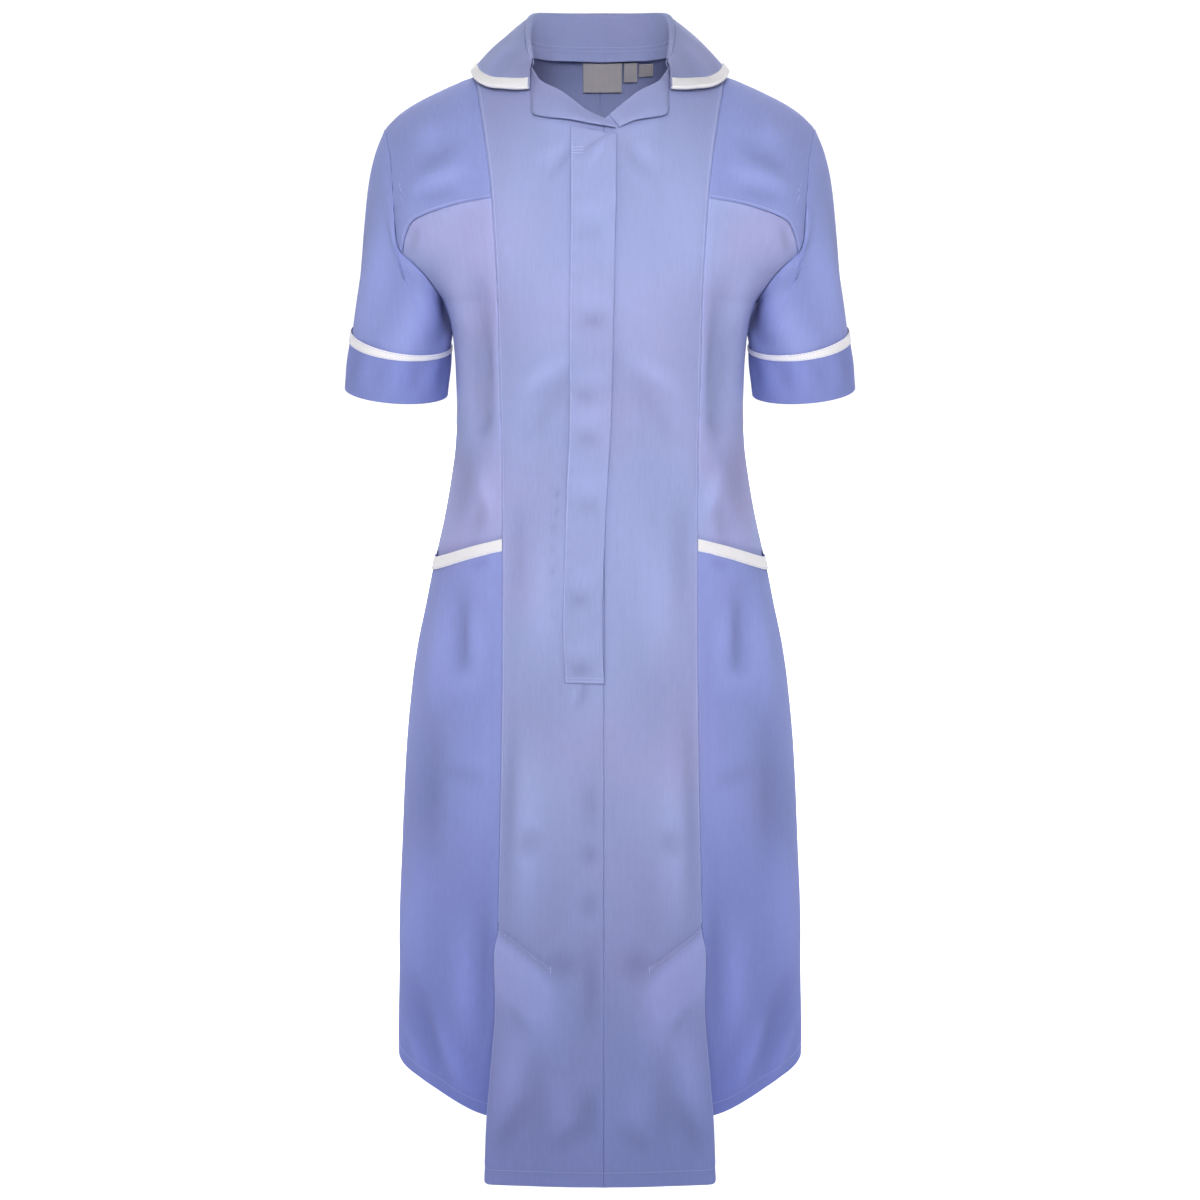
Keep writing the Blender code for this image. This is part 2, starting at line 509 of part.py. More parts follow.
def material(name, colour, roughness):
    made = bpy.data.materials.new(name)
    made.use_nodes = True
    shader = made.node_tree.nodes["Principled BSDF"]
    shader.inputs["Base Color"].default_value = (*colour, 1.0)
    shader.inputs["Roughness"].default_value = roughness
    shader.inputs["Metallic"].default_value = 0.0
    return made


def normals(point, u, v, low, high):
    """Unit normals of a surface, measured over a small step that stays inside low and high."""
    (u0, v0), (u1, v1) = low, high
    along = point(np.minimum(u + PROBE, u1), v) - point(np.maximum(u - PROBE, u0), v)
    up = point(u, np.minimum(v + PROBE, v1)) - point(u, np.maximum(v - PROBE, v0))
    normal = np.cross(along, up)
    return normal / np.linalg.norm(normal, axis=-1, keepdims=True)


def wall(name, point, across_at, up_at, finish, facing=1, mirrored=False, starts=0.0, thick=CLOTH, closed=False):
    """A closed solid over the surface point(u, v): from starts to starts + thick off its outer side.
    facing says which way out is; mirrored makes the wearer's right-hand copy."""
    u, v = np.meshgrid(across_at, up_at)
    reach = (-10.0, 10.0) if closed else (u.min(), u.max())
    outward = normals(point, u, v, (reach[0], v.min()), (reach[1], v.max())) * facing
    middle = point(u, v)
    inner, outer = middle + outward * starts, middle + outward * (starts + thick)
    count_v, count_u = u.shape
    grid = np.arange(count_u * count_v).reshape(count_v, count_u)
    flat = [inner.reshape(-1, 3), outer.reshape(-1, 3)]
    points = np.concatenate(flat)
    if mirrored:
        points = points * (-1, 1, 1)
    other = grid + grid.size

    def quads(a, b, c, d):
        return np.stack([a, b, c, d], axis=-1).reshape(-1, 4)

    def strip(near, far):
        return quads(near[:-1], near[1:], far[1:], far[:-1])

    wide = np.concatenate([grid, grid[:, :1]], axis=1) if closed else grid
    wide_other = wide + grid.size
    faces = [
        quads(wide_other[:-1, :-1], wide_other[:-1, 1:], wide_other[1:, 1:], wide_other[1:, :-1]),
        quads(wide[:-1, :-1], wide[1:, :-1], wide[1:, 1:], wide[:-1, 1:]),
        strip(wide[0], wide_other[0]),
        strip(wide_other[-1], wide[-1]),
    ]
    if not closed:
        faces += [strip(other[:, 0], grid[:, 0]), strip(grid[:, -1], other[:, -1])]
    faces = np.concatenate(faces)
    faces = np.concatenate([faces[:, [0, 1, 2]], faces[:, [0, 2, 3]]])
    if (facing < 0) != mirrored:
        faces = faces[:, ::-1]
    mesh = bpy.data.meshes.new(name)
    mesh.from_pydata(points.tolist(), [], faces.tolist())
    mesh.materials.append(finish)
    made = bpy.data.objects.new(name, mesh)
    bpy.context.scene.collection.objects.link(made)
    made.parent = dress
    return made


def part_rows(up, rows):
    """The rows of one part of a long panel, which stops a seam's gap below the part above it."""
    first, last = rows
    picked = up[first : last + 1].copy()
    if last < len(up) - 1:
        picked[-1] -= SEAM * STRAIGHT / (UNDERARM - HEM)
    return picked


# ---------------------------------------------------------------- the dress

for old in list(bpy.data.objects):
    bpy.data.objects.remove(old)
dress = bpy.data.objects.new("dress", None)
bpy.context.scene.collection.objects.link(dress)

blue = material("blue twill", (0.235, 0.285, 0.66), 0.8)
deep_blue = material("blue twill cuffs", (0.19, 0.23, 0.58), 0.8)
white = material("white binding", (0.86, 0.84, 0.86), 0.7)
grey = material("woven label", (0.42, 0.40, 0.40), 0.8)

# rows and columns of cloth, as shares of each piece
up_rows = np.concatenate([
    np.linspace(0, STRAIGHT, BODY_STEPS + 1),
    STRAIGHT + (1 - STRAIGHT) * np.arange(1, ARM_STEPS + 1) / ARM_STEPS,
])
up_rows[-1] -= TOP_EDGE
neck_share = (NECK_HALF - CENTRE) / (PRINCESS["out"][-1] - CENTRE)
front_across = np.concatenate([[FRONT_EDGE, 0.20, 0.41, neck_share], np.linspace(neck_share, 1 - EDGE, 4)[1:]])
back_neck = np.arcsin((NECK_HALF / ARMHOLE["out"][-1]) ** (BODY["back_power"][0] / 2)) * 2 / np.pi
back_across = np.linspace(back_neck, 1 - SIDE_EDGE, 6)
back_across = np.concatenate([[BACK_EDGE], np.linspace(0, back_neck, 5)[1:-1], back_across])
yoke_rows = np.linspace(0, 1, ARM_STEPS - BUST_STEPS + 1)
yoke_rows[0], yoke_rows[-1] = EDGE, 1 - EDGE
levels = np.linspace(FRONT_HEM, UNDERARM, BODY_STEPS + 1)
mouth_top = POCKET_MOUTH["height"][0]
side_levels = np.concatenate([[POCKET_FOOT, mouth_top - 0.004, mouth_top + 0.012], levels[levels > mouth_top + 0.02]])
side_rows = np.concatenate([
    (side_levels - POCKET_FOOT) / (UNDERARM - POCKET_FOOT) * STRAIGHT,
    np.linspace(STRAIGHT, 1, BUST_STEPS + 1)[1:],
])
side_rows[-1] -= EDGE
side_across = np.concatenate([np.linspace(EDGE, 0.9, 6), [1 - SIDE_EDGE]])
skirt_levels = np.concatenate([[HEM], levels[(levels > HEM + 0.015) & (levels < mouth_top - 0.01)], [mouth_top]])
skirt_rows = (skirt_levels - HEM) / (mouth_top - HEM)
sleeve_across = np.arange(2 * ARM_STEPS) / (2 * ARM_STEPS)

for hand, mirrored in (("left", False), ("right", True)):
    centre_line = -CENTRE if mirrored else CENTRE
    for part, rows in FRONT_PARTS.items():
        wall(f"front_{hand}_{part}", centre_front(centre_line), front_across, part_rows(up_rows, rows), blue, 1, mirrored)
    wall(f"yoke_{hand}", yoke, side_across, yoke_rows, blue, 1, mirrored)
    wall(f"side_front_{hand}", side_front, side_across, side_rows, blue, 1, mirrored)
    wall(f"skirt_side_{hand}", skirt_side, side_across, skirt_rows, blue, 1, mirrored)
    wall(f"pleat_underlay_{hand}", pleat_underlay, np.linspace(0, 1, 9), np.linspace(0, 1, 5), blue, 1, mirrored)
    for part, rows in BACK_PARTS.items():
        wall(f"back_{hand}_{part}", back, back_across, part_rows(up_rows, rows), blue, -1, mirrored)
    wall(f"sleeve_{hand}", sleeve_tube, sleeve_across, np.linspace(0, 1, 8), blue, 1, mirrored, closed=True)
    cuff_rows = np.linspace(CUFF_FROM, 1, 4)
    wall(f"cuff_{hand}", sleeve_tube, sleeve_across, cuff_rows, deep_blue, 1, mirrored, ON_TOP, closed=True)
    tape_rows = np.array([CUFF_FROM - BINDING_ABOVE, CUFF_FROM + BINDING_SHARE])
    wall(f"cuff_binding_{hand}", sleeve_tube, sleeve_across, tape_rows, white, 1, mirrored, 2 * ON_TOP, TAPE, True)
    wall(f"pocket_binding_{hand}", pocket_binding, side_across, np.array([0.0, 1.0]), white, 1, mirrored, ON_TOP, TAPE)
    wall(f"lapel_{hand}", lapel_sheet(1 if hand == "left" else -1), np.linspace(0, 1, 9), np.linspace(0, 1, 4),
         blue, -1 if hand == "left" else 1, False, ON_TOP + LAPEL_RISE)

beside = height_of(up_rows, FRONT_HEM, neck_front(0))
placket_from, placket_to = PLACKET["height"][0], np.mean(PLACKET_TOP)
beside = beside[(beside > placket_from + 0.005) & (beside < placket_to - 0.005)]
placket_rows = np.concatenate([[0], (beside - placket_from) / (placket_to - placket_from), [1]])
wall("placket", placket_strip, np.linspace(0, 1, 4), placket_rows, blue, 1, False, ON_TOP + PLACKET_RISE)
collar_round = np.linspace(-1, 1, 23)
collar_up = np.array([0, 0.35, 0.40, 0.45, 0.5, 0.65, 0.80, 1 - COLLAR_BINDING_SHARE, 1])
wall("collar", collar_sheet, collar_round, collar_up, blue, 1)
wall("collar_binding", collar_bound, collar_round, np.array([0, 0.4, 0.47, 0.53, 0.6, 1]), white, 1, False, 0, TAPE)
for name, box in LABELS.items():
    wall(name, label_sheet(box), np.linspace(0, 1, 4), np.array([0.0, 1.0]), grey, 1, False, LABEL_CLEAR, LABEL)
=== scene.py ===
"""A nurse's short-sleeved uniform dress, worn and hollow, sewn together piece by piece around its frame.

Metres, +Z up. The wearer faces -Y and the wearer's left is +X. The origin is the middle of the neck.
"""

import math

import bpy
import numpy as np
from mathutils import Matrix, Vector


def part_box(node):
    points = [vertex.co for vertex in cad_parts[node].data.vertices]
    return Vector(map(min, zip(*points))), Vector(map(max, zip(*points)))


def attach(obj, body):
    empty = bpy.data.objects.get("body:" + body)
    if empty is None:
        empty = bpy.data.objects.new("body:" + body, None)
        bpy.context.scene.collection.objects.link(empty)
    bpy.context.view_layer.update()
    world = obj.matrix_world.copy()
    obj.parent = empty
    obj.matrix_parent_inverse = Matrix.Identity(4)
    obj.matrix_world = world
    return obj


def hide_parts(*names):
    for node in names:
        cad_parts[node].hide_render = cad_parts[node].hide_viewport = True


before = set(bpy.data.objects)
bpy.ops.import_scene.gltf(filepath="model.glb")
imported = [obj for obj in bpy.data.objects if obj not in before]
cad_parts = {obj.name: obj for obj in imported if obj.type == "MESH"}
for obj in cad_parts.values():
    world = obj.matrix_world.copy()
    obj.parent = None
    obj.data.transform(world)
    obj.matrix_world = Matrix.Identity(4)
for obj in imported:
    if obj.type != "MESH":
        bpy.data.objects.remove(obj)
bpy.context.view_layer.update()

# ------------------------------------------------------------------------------------------ studio
# A pale floor well below the hem and a pale surround. A soft box before the chest has a grid, so that its
# light falls away towards the hem, weak ones hang above and on each side, and a wide one lights the floor.

CAMERA_AT = (0.0, -1.62, -0.17)
CAMERA_DOWN = math.radians(11.72)
FLOOR_DROP = 0.21  # from the front hem down to the floor

camera = bpy.data.objects.new("camera", bpy.data.cameras.new("camera"))
camera.data.lens = 50.73
camera.data.sensor_width = 36.0
camera.location = CAMERA_AT
camera.rotation_euler = (math.pi / 2 - CAMERA_DOWN, 0.0, 0.0)
bpy.context.scene.collection.objects.link(camera)
bpy.context.scene.camera = camera
bpy.context.scene.view_settings.view_transform = "Standard"
bpy.context.scene.view_settings.gamma = 0.85

world = bpy.data.worlds.new("surround")
bpy.context.scene.world = world
world.use_nodes = True
surround = world.node_tree
seen = surround.nodes.new("ShaderNodeLightPath")
bright = surround.nodes.new("ShaderNodeMapRange")
bright.inputs["To Min"].default_value = 0.14
bright.inputs["To Max"].default_value = 1.10
surround.links.new(seen.outputs["Is Camera Ray"], bright.inputs["Value"])
surround.links.new(bright.outputs["Result"], surround.nodes["Background"].inputs["Strength"])
surround.nodes["Background"].inputs["Color"].default_value = (1.0, 1.0, 1.0, 1.0)

floor_mesh = bpy.data.meshes.new("floor")
floor_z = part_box("front_left_skirt")[0][2] - FLOOR_DROP
floor_corners = ((-9, -9), (9, -9), (9, 9), (-9, 9))
floor_mesh.from_pydata([(x, y, floor_z) for x, y in floor_corners], [], [(0, 1, 2, 3)])
floor = bpy.data.objects.new("floor", floor_mesh)
bpy.context.scene.collection.objects.link(floor)
floor_paint = bpy.data.materials.new("floor paint")
floor_paint.use_nodes = True
floor_shader = floor_paint.node_tree.nodes["Principled BSDF"]
floor_shader.inputs["Base Color"].default_value = (0.93, 0.93, 0.93, 1.0)
floor_shader.inputs["Roughness"].default_value = 0.9
floor_mesh.materials.append(floor_paint)


def soft_box(name, place, aim, size, power, opening=180.0):
    """A soft box of a width, a height and a power in watts, facing a point, with a grid that narrows it."""
    lamp = bpy.data.lights.new(name, "AREA")
    lamp.shape = "RECTANGLE"
    lamp.size, lamp.size_y = size
    lamp.energy = power
    lamp.spread = math.radians(opening)
    box = bpy.data.objects.new(name, lamp)
    box.location = place
    x, y, z = np.subtract(place, aim)
    box.rotation_euler = (math.atan2(math.hypot(x, y), z), 0.0, math.atan2(x, -y))
    bpy.context.scene.collection.objects.link(box)


soft_box("chest light", (0.0, -1.75, 0.25), (0.0, 0.0, -0.33), (0.9, 0.6), 4.6, 72.0)
soft_box("top light", (0.0, -1.0, 1.1), (0.0, 0.0, -0.2), (1.2, 0.6), 2.6)
for name, side in (("left light", 1), ("right light", -1)):
    soft_box(name, (side * 1.5, -0.9, -0.1), (side * 0.1, 0.0, -0.42), (0.5, 0.8), 1.5, 110.0)
soft_box("floor light", (0.0, 6.0, 2.0), (0.0, 6.0, -1.0), (9.0, 9.0), 1150.0)

# ------------------------------------------------------------------------------------------ backs
# Two back panels of polyester and cotton twill, cut from hem to shoulder and joined down the middle.
# The body's sections, which every later panel also lies on, are set out here as a maker's dress form is.

HEM = -1.000
FRONT_HEM = -1.040
HEM_RISE = 0.017
HEM_TURN_UP = (0.112, 0.185)
HEM_REACH = 0.100
UNDERARM = -0.217
SHOULDER = -0.0615
CHEST = -0.150
EASE = 0.006
CLOTH = 0.0012
NECK_HALF = 0.067
SEAM_ROLL = 0.0017  # how far from a seam the cloth begins to turn in
EDGE_ROLL = 0.0010  # the same on a folded edge
ROLL_UNDER, ROLL_OVER = 0.15, 0.75  # how much of its thickness each face of the cloth gives up there
PITCH = 0.0045  # spacing of the cloth's own grid
TOP_GAP = 0.0007  # the share of a long panel left out along its shoulder seam
HEM_CREASE = 0.030  # where the turned-up hem's edge shows through, above the hem
CROWN = {"front": 1.8, "back": 2.0}
FACE = {"front": -1.0, "back": 1.0}

BODY = {
    "height": (-1.000, -0.971, -0.882, -0.809, -0.753, -0.669, -0.587, -0.546, -0.506, -0.466, -0.427, -0.388,
               -0.349, -0.311, -0.281, -0.254, -0.235, -0.217, -0.205, -0.194, -0.178, -0.165, -0.150),
    "half_width": (0.2070, 0.2068, 0.2035, 0.2008, 0.1978, 0.1924, 0.1831, 0.1768, 0.1681, 0.1596, 0.1500,
                   0.1425, 0.1370, 0.1352, 0.1354, 0.1370, 0.1397, 0.1458, 0.1570, 0.1690, 0.1885, 0.2010,
                   0.2050),
    "front": (0.1300, 0.1315, 0.1370, 0.1400, 0.1380, 0.1330, 0.1270, 0.1235, 0.1200, 0.1160, 0.1110, 0.1050,
              0.1000, 0.1000, 0.1060, 0.1140, 0.1180, 0.1210, 0.1215, 0.1215, 0.1210, 0.1200, 0.1190),
    "back": (0.1380, 0.1380, 0.1370, 0.1360, 0.1350, 0.1340, 0.1320, 0.1290, 0.1240, 0.1170, 0.1080, 0.0970,
             0.0890, 0.0880, 0.0930, 0.0990, 0.1030, 0.1065, 0.1080, 0.1085, 0.1090, 0.1090, 0.1090),
    "front_power": (1.75, 1.77, 1.85, 1.95, 2.00, 2.10, 2.15, 2.20, 2.20, 2.20, 2.20, 2.20,
                    2.20, 2.20, 2.20, 2.20, 2.20, 2.20, 2.20, 2.20, 2.20, 2.20, 2.20),
    "back_power": (2.20, 2.20, 2.20, 2.20, 2.20, 2.20, 2.20, 2.20, 2.20, 2.20, 2.20, 2.20,
                   2.20, 2.20, 2.20, 2.20, 2.20, 2.25, 2.30, 2.30, 2.30, 2.30, 2.30),
}
RIDGE = {
    "out": (0.000, 0.040, 0.067, 0.090, 0.114, 0.151, 0.172, 0.188, 0.197, 0.205),
    "height": (0.040, 0.024, 0.003, -0.007, -0.016, -0.031, -0.0415, -0.0525, -0.0615, -0.0720),
}
ARMHOLE = {
    "height": (-0.217, -0.213, -0.205, -0.194, -0.186, -0.1783, -0.174, -0.1633, -0.140, -0.115, -0.092,
               -0.078, -0.0615),
    "out": (0.1458, 0.1468, 0.1503, 0.1575, 0.1645, 0.1735, 0.1790, 0.1832, 0.1845, 0.1865, 0.1890, 0.1925,
            0.1970),
}
NECK_BACK = {"out": (0.000, 0.030, 0.050, 0.067), "height": (0.0080, 0.0075, 0.0060, 0.0030)}


def curve_through(knots, values):
    """A smooth curve through the rows of a table, which never overshoots them."""
    x, y = np.array(knots, float), np.array(values, float)
    step = np.diff(x)
    rise = np.diff(y) / step
    product = rise[:-1] * rise[1:]
    total = np.where(product > 0, rise[:-1] + rise[1:], 1.0)
    slope = np.concatenate([rise[:1], np.where(product > 0, 2 * product / total, 0.0), rise[-1:]])

    def at(q):
        q = np.clip(q, x[0], x[-1])
        i = np.clip(np.searchsorted(x, q) - 1, 0, len(step) - 1)
        t = (q - x[i]) / step[i]
        ends = y[i] * (2 * t**3 - 3 * t**2 + 1) + y[i + 1] * (3 * t**2 - 2 * t**3)
        return ends + step[i] * (slope[i] * (t**3 - 2 * t**2 + t) + slope[i + 1] * (t**3 - t**2))

    return at


def columns(table, key):
    """Every other column of a table as a curve over its key column."""
    return {name: curve_through(table[key], values) for name, values in table.items() if name != key}


body = columns(BODY, "height")
ridge = columns(RIDGE, "out")["height"]
armhole_out = columns(ARMHOLE, "height")["out"]
neck_back = columns(NECK_BACK, "out")["height"]


def smoothstep(t):
    t = np.clip(t, 0.0, 1.0)
    return t * t * (3 - 2 * t)


def depth(x, z, side):
    """How far the body stands from the plane of the side seams, at a point seen from the front."""
    low = CHEST - EASE * np.log1p(np.exp(np.minimum((CHEST - z) / EASE, 50)))
    low = np.where(CHEST - z > 8 * EASE, z, low)
    power = body[side + "_power"](low)
    share = np.clip(np.abs(x) / body["half_width"](low), 0, 1)
    reach = body[side](low) * (1 - share**power) ** (1 / power)
    up = np.clip((z - CHEST) / (ridge(np.abs(x)) - CHEST), 0, 1)
    return reach * (1 - up ** CROWN[side]) ** (1 / CROWN[side])


def on_body(x, z, side):
    return np.stack(np.broadcast_arrays(x, FACE[side] * depth(x, z, side), z), axis=-1)


def across(z, turn, side):
    """The distance out from the middle at a turn from 0, the middle, to 1, the side seam."""
    return body["half_width"](z) * np.sin(turn * np.pi / 2) ** (2 / body[side + "_power"](z))


def turn_of(x, z, side):
    share = np.clip(x / body["half_width"](z), 0, 1)
    return np.arcsin(share ** (body[side + "_power"](z) / 2)) * 2 / np.pi


def arm_rise(k):
    """The share of the armhole's height reached after a share k of its rows."""
    return (1 - np.cos(np.pi * np.clip(k, 0, 1))) / 2


def height_of(v, hem, top):
    """Heights up a long piece: even up to the underarm, then closer towards both ends of the armhole."""
    low = hem + (UNDERARM - hem) * np.clip(v / 0.7, 0, 1)
    return low + (top - UNDERARM) * arm_rise((v - 0.7) / 0.3)


def lifted(x, z):
    """The same point with the hem's curve added: the side and back hems rise towards the side seams."""
    near, far = HEM_TURN_UP
    return z + HEM_RISE * smoothstep((x - near) / (far - near)) * np.clip(1 - (z - HEM) / HEM_REACH, 0, 1)


class Socket:
    """A shader value that Python can do arithmetic on: each sign adds its Math node."""

    def __init__(self, finish, link):
        self.finish, self.link = finish, link

    def __add__(self, other):
        return self.finish.maths("ADD", self, other)

    def __sub__(self, other):
        return self.finish.maths("SUBTRACT", self, other)

    def __rsub__(self, other):
        return self.finish.maths("SUBTRACT", other, self)

    def __mul__(self, other):
        return self.finish.maths("MULTIPLY", self, other)

    __radd__, __rmul__ = __add__, __mul__


class Finish:
    """A material that is being put together, node by node."""

    def __init__(self, name, **fixed):
        self.material = bpy.data.materials.new(name)
        self.material.use_nodes = True
        self.nodes, self.links = self.material.node_tree.nodes, self.material.node_tree.links
        self.shader = self.nodes["Principled BSDF"]
        for socket, value in fixed.items():
            self.shader.inputs[socket.replace("_", " ")].default_value = value

    def node(self, kind, settings, sockets, output=0):
        """Adds a node: its settings first, then the values or links of its sockets."""
        made = self.nodes.new(kind)
        for key, value in settings.items():
            if key == "stops":
                while len(made.color_ramp.elements) < len(value):
                    made.color_ramp.elements.new(0.5)
                for element, (place, colour) in zip(made.color_ramp.elements, value):
                    element.position, element.color = place, (*colour, 1.0)
            else:
                setattr(made, key, value)
        for key, value in sockets.items():
            self.join(value, made.inputs[key])
        return Socket(self, made.outputs[output])

    def join(self, value, socket):
        if isinstance(value, Socket):
            self.links.new(value.link, socket)
        else:
            socket.default_value = value

    def maths(self, operation, first, second):
        return self.node("ShaderNodeMath", {"operation": operation}, {0: first, 1: second})

    def threads(self):
        """The cloth's own flat map, and the distances on it across and along the piece."""
        flat = self.node("ShaderNodeUVMap", {"uv_map": "cloth"}, {})
        parted = [self.node("ShaderNodeSeparateXYZ", {}, {0: flat}, output) for output in (0, 1)]
        return flat, *parted

    def waves(self, distance, pitch):
        return self.maths("SINE", distance * (2 * math.pi / pitch), 0.0)

    def noise(self, place, scale, stretch=(1, 1, 1), detail=3.0, roughness=0.5):
        spread_out = self.node("ShaderNodeMapping", {}, {"Vector": place, "Scale": stretch})
        sockets = {"Vector": spread_out, "Scale": scale, "Detail": detail, "Roughness": roughness}
        return self.node("ShaderNodeTexNoise", {}, sockets)

    def blend(self, amount, first, second):
        """A mix of two colours."""
        sockets = {0: amount, 6: first, 7: second}
        return self.node("ShaderNodeMix", {"data_type": "RGBA", "clamp_factor": True}, sockets, 2)

    def bump(self, height, distance, under=None):
        sockets = {"Height": height, "Distance": distance, "Strength": 1.0}
        if under is not None:
            sockets["Normal"] = under
        return self.node("ShaderNodeBump", {}, sockets)


BLUE = (0.385, 0.430, 0.700, 1.0)
MAUVE = (0.450, 0.410, 0.670, 1.0)
# Painted shade: the deeper, shaded blue that cloth is painted towards lower down and on the darker panel
# copies.
SHADED_BLUE = (0.270, 0.325, 0.760, 1.0)
TWILL_LINE = 0.0009  # across one diagonal line of the twill
THREAD = 0.00036  # one warp thread
PAINTED_FOLD_SHADE = 0.16  # painted shade and light: how much darker a fold's hollow is painted than the cloth about it, and how much paler its ridge
FOLD_HEIGHT = 0.004  # the height of fold, up or down, that is painted that much darker or paler
HEM_SHADE_FROM = -0.65  # the height below which the cloth is painted a deeper, shaded blue towards the front hem: painted shade
HEM_SHADE_BY = 0.55


def twill(name, painted_shade=0.0, warm=0.35, painted_light=1.0):
    """Fine diagonal twill, one cloth copied per panel with painted light and shade: the shade argument paints
    it a deeper, shaded blue, more so towards the hem, the light argument lightens or darkens it, and warm is
    how much mauve comes and goes."""
    finish = Finish(name, Roughness=0.8, Sheen_Weight=0.05, Sheen_Roughness=0.5, Specular_IOR_Level=0.15)
    flat, cross, along = finish.threads()
    place = finish.node("ShaderNodeTexCoord", {}, {}, "Object")
    diagonal = finish.waves(cross + along, TWILL_LINE)
    warp = finish.waves(cross, THREAD)
    drift = finish.noise(place, 7.0, detail=2.0)
    fine = finish.noise(flat, 1.0, (900.0, 70.0, 1.0), 2.0)
    streak = finish.noise(flat, 1.0, (260.0, 9.0, 1.0), 3.0)
    cast = finish.node("ShaderNodeMapRange", {}, {0: drift, 1: 0.42, 2: 0.68, 3: 0.0, 4: warm})
    colour = finish.blend(cast, BLUE, MAUVE)
    # Painted shade: below a height the colour is mixed towards the shaded blue, most at the front hem.
    height = finish.node("ShaderNodeSeparateXYZ", {}, {0: place}, 2)
    low = finish.node("ShaderNodeMapRange", {}, {0: height, 1: HEM_SHADE_FROM, 2: FRONT_HEM, 3: painted_shade,
                                                 4: min(painted_shade + HEM_SHADE_BY, 1.0)})
    colour = finish.blend(low, colour, SHADED_BLUE)
    # Painted shade and light: each fold's hollow is painted darker and its ridge paler, from the fold heights
    # kept on the mesh.
    fold = finish.node("ShaderNodeAttribute", {"attribute_name": "fold"}, {}, 2)
    hollow = finish.node("ShaderNodeMapRange", {}, {0: fold, 1: -FOLD_HEIGHT, 2: FOLD_HEIGHT, 3: -PAINTED_FOLD_SHADE,
                                                    4: PAINTED_FOLD_SHADE})
    weave = 0.05 * diagonal + 0.14 * (fine - 0.5) + 0.06 * (streak - 0.5) + 0.04 * warp
    shade = painted_light * (0.93 + hollow + weave)
    tone = finish.node("ShaderNodeCombineColor", {}, {0: shade, 1: shade, 2: shade})
    finish.join(finish.node("ShaderNodeMix", {"data_type": "RGBA", "blend_type": "MULTIPLY"},
                            {0: 1.0, 6: colour, 7: tone}, 2), finish.shader.inputs["Base Color"])
    rumple = finish.noise(place, 38.0, detail=4.0, roughness=0.55)
    soft = finish.bump(rumple, 0.0011)
    grain = finish.bump(0.5 * diagonal + 0.25 * warp + 1.1 * fine + 0.5 * streak, 0.00007, soft)
    finish.join(grain, finish.shader.inputs["Normal"])
    return finish.material


def spread(length, pitch=PITCH):
    """Places from 0 to 1 along a piece, closer together where its edges turn in."""
    near = np.array([0.0, 0.0002, 0.0005, 0.0009, 0.0014, 0.0021, 0.0032]) / length
    far = 1 - near[::-1]
    count = max(2, int(round((far[0] - near[-1]) * length / pitch)))
    return np.concatenate([near[:-1], np.linspace(near[-1], far[0], count + 1), far[1:]])


def distances(points, axis):
    """The distance walked along a grid of points from its first row or column."""
    steps = np.linalg.norm(np.diff(points, axis=axis), axis=-1)
    begin = np.zeros_like(np.take(steps, [0], axis=axis))
    return np.concatenate([begin, np.cumsum(steps, axis=axis)], axis=axis)


def outward_of(points, facing, closed):
    if closed:
        wide = np.concatenate([points[:, -1:], points, points[:, :1]], axis=1)
        along = wide[:, 2:] - wide[:, :-2]
    else:
        along = np.gradient(points, axis=1)
    normal = np.cross(along, np.gradient(points, axis=0)) * facing
    return normal / np.maximum(np.linalg.norm(normal, axis=-1, keepdims=True), 1e-12)


def turned_in(distance, roll):
    """From 0 away from an edge to 1 on it, as a quarter of a circle."""
    if not roll:
        return np.zeros_like(distance)
    return 1 - np.sqrt(1 - (1 - np.clip(distance / roll, 0, 1)) ** 2)


cloths = {}


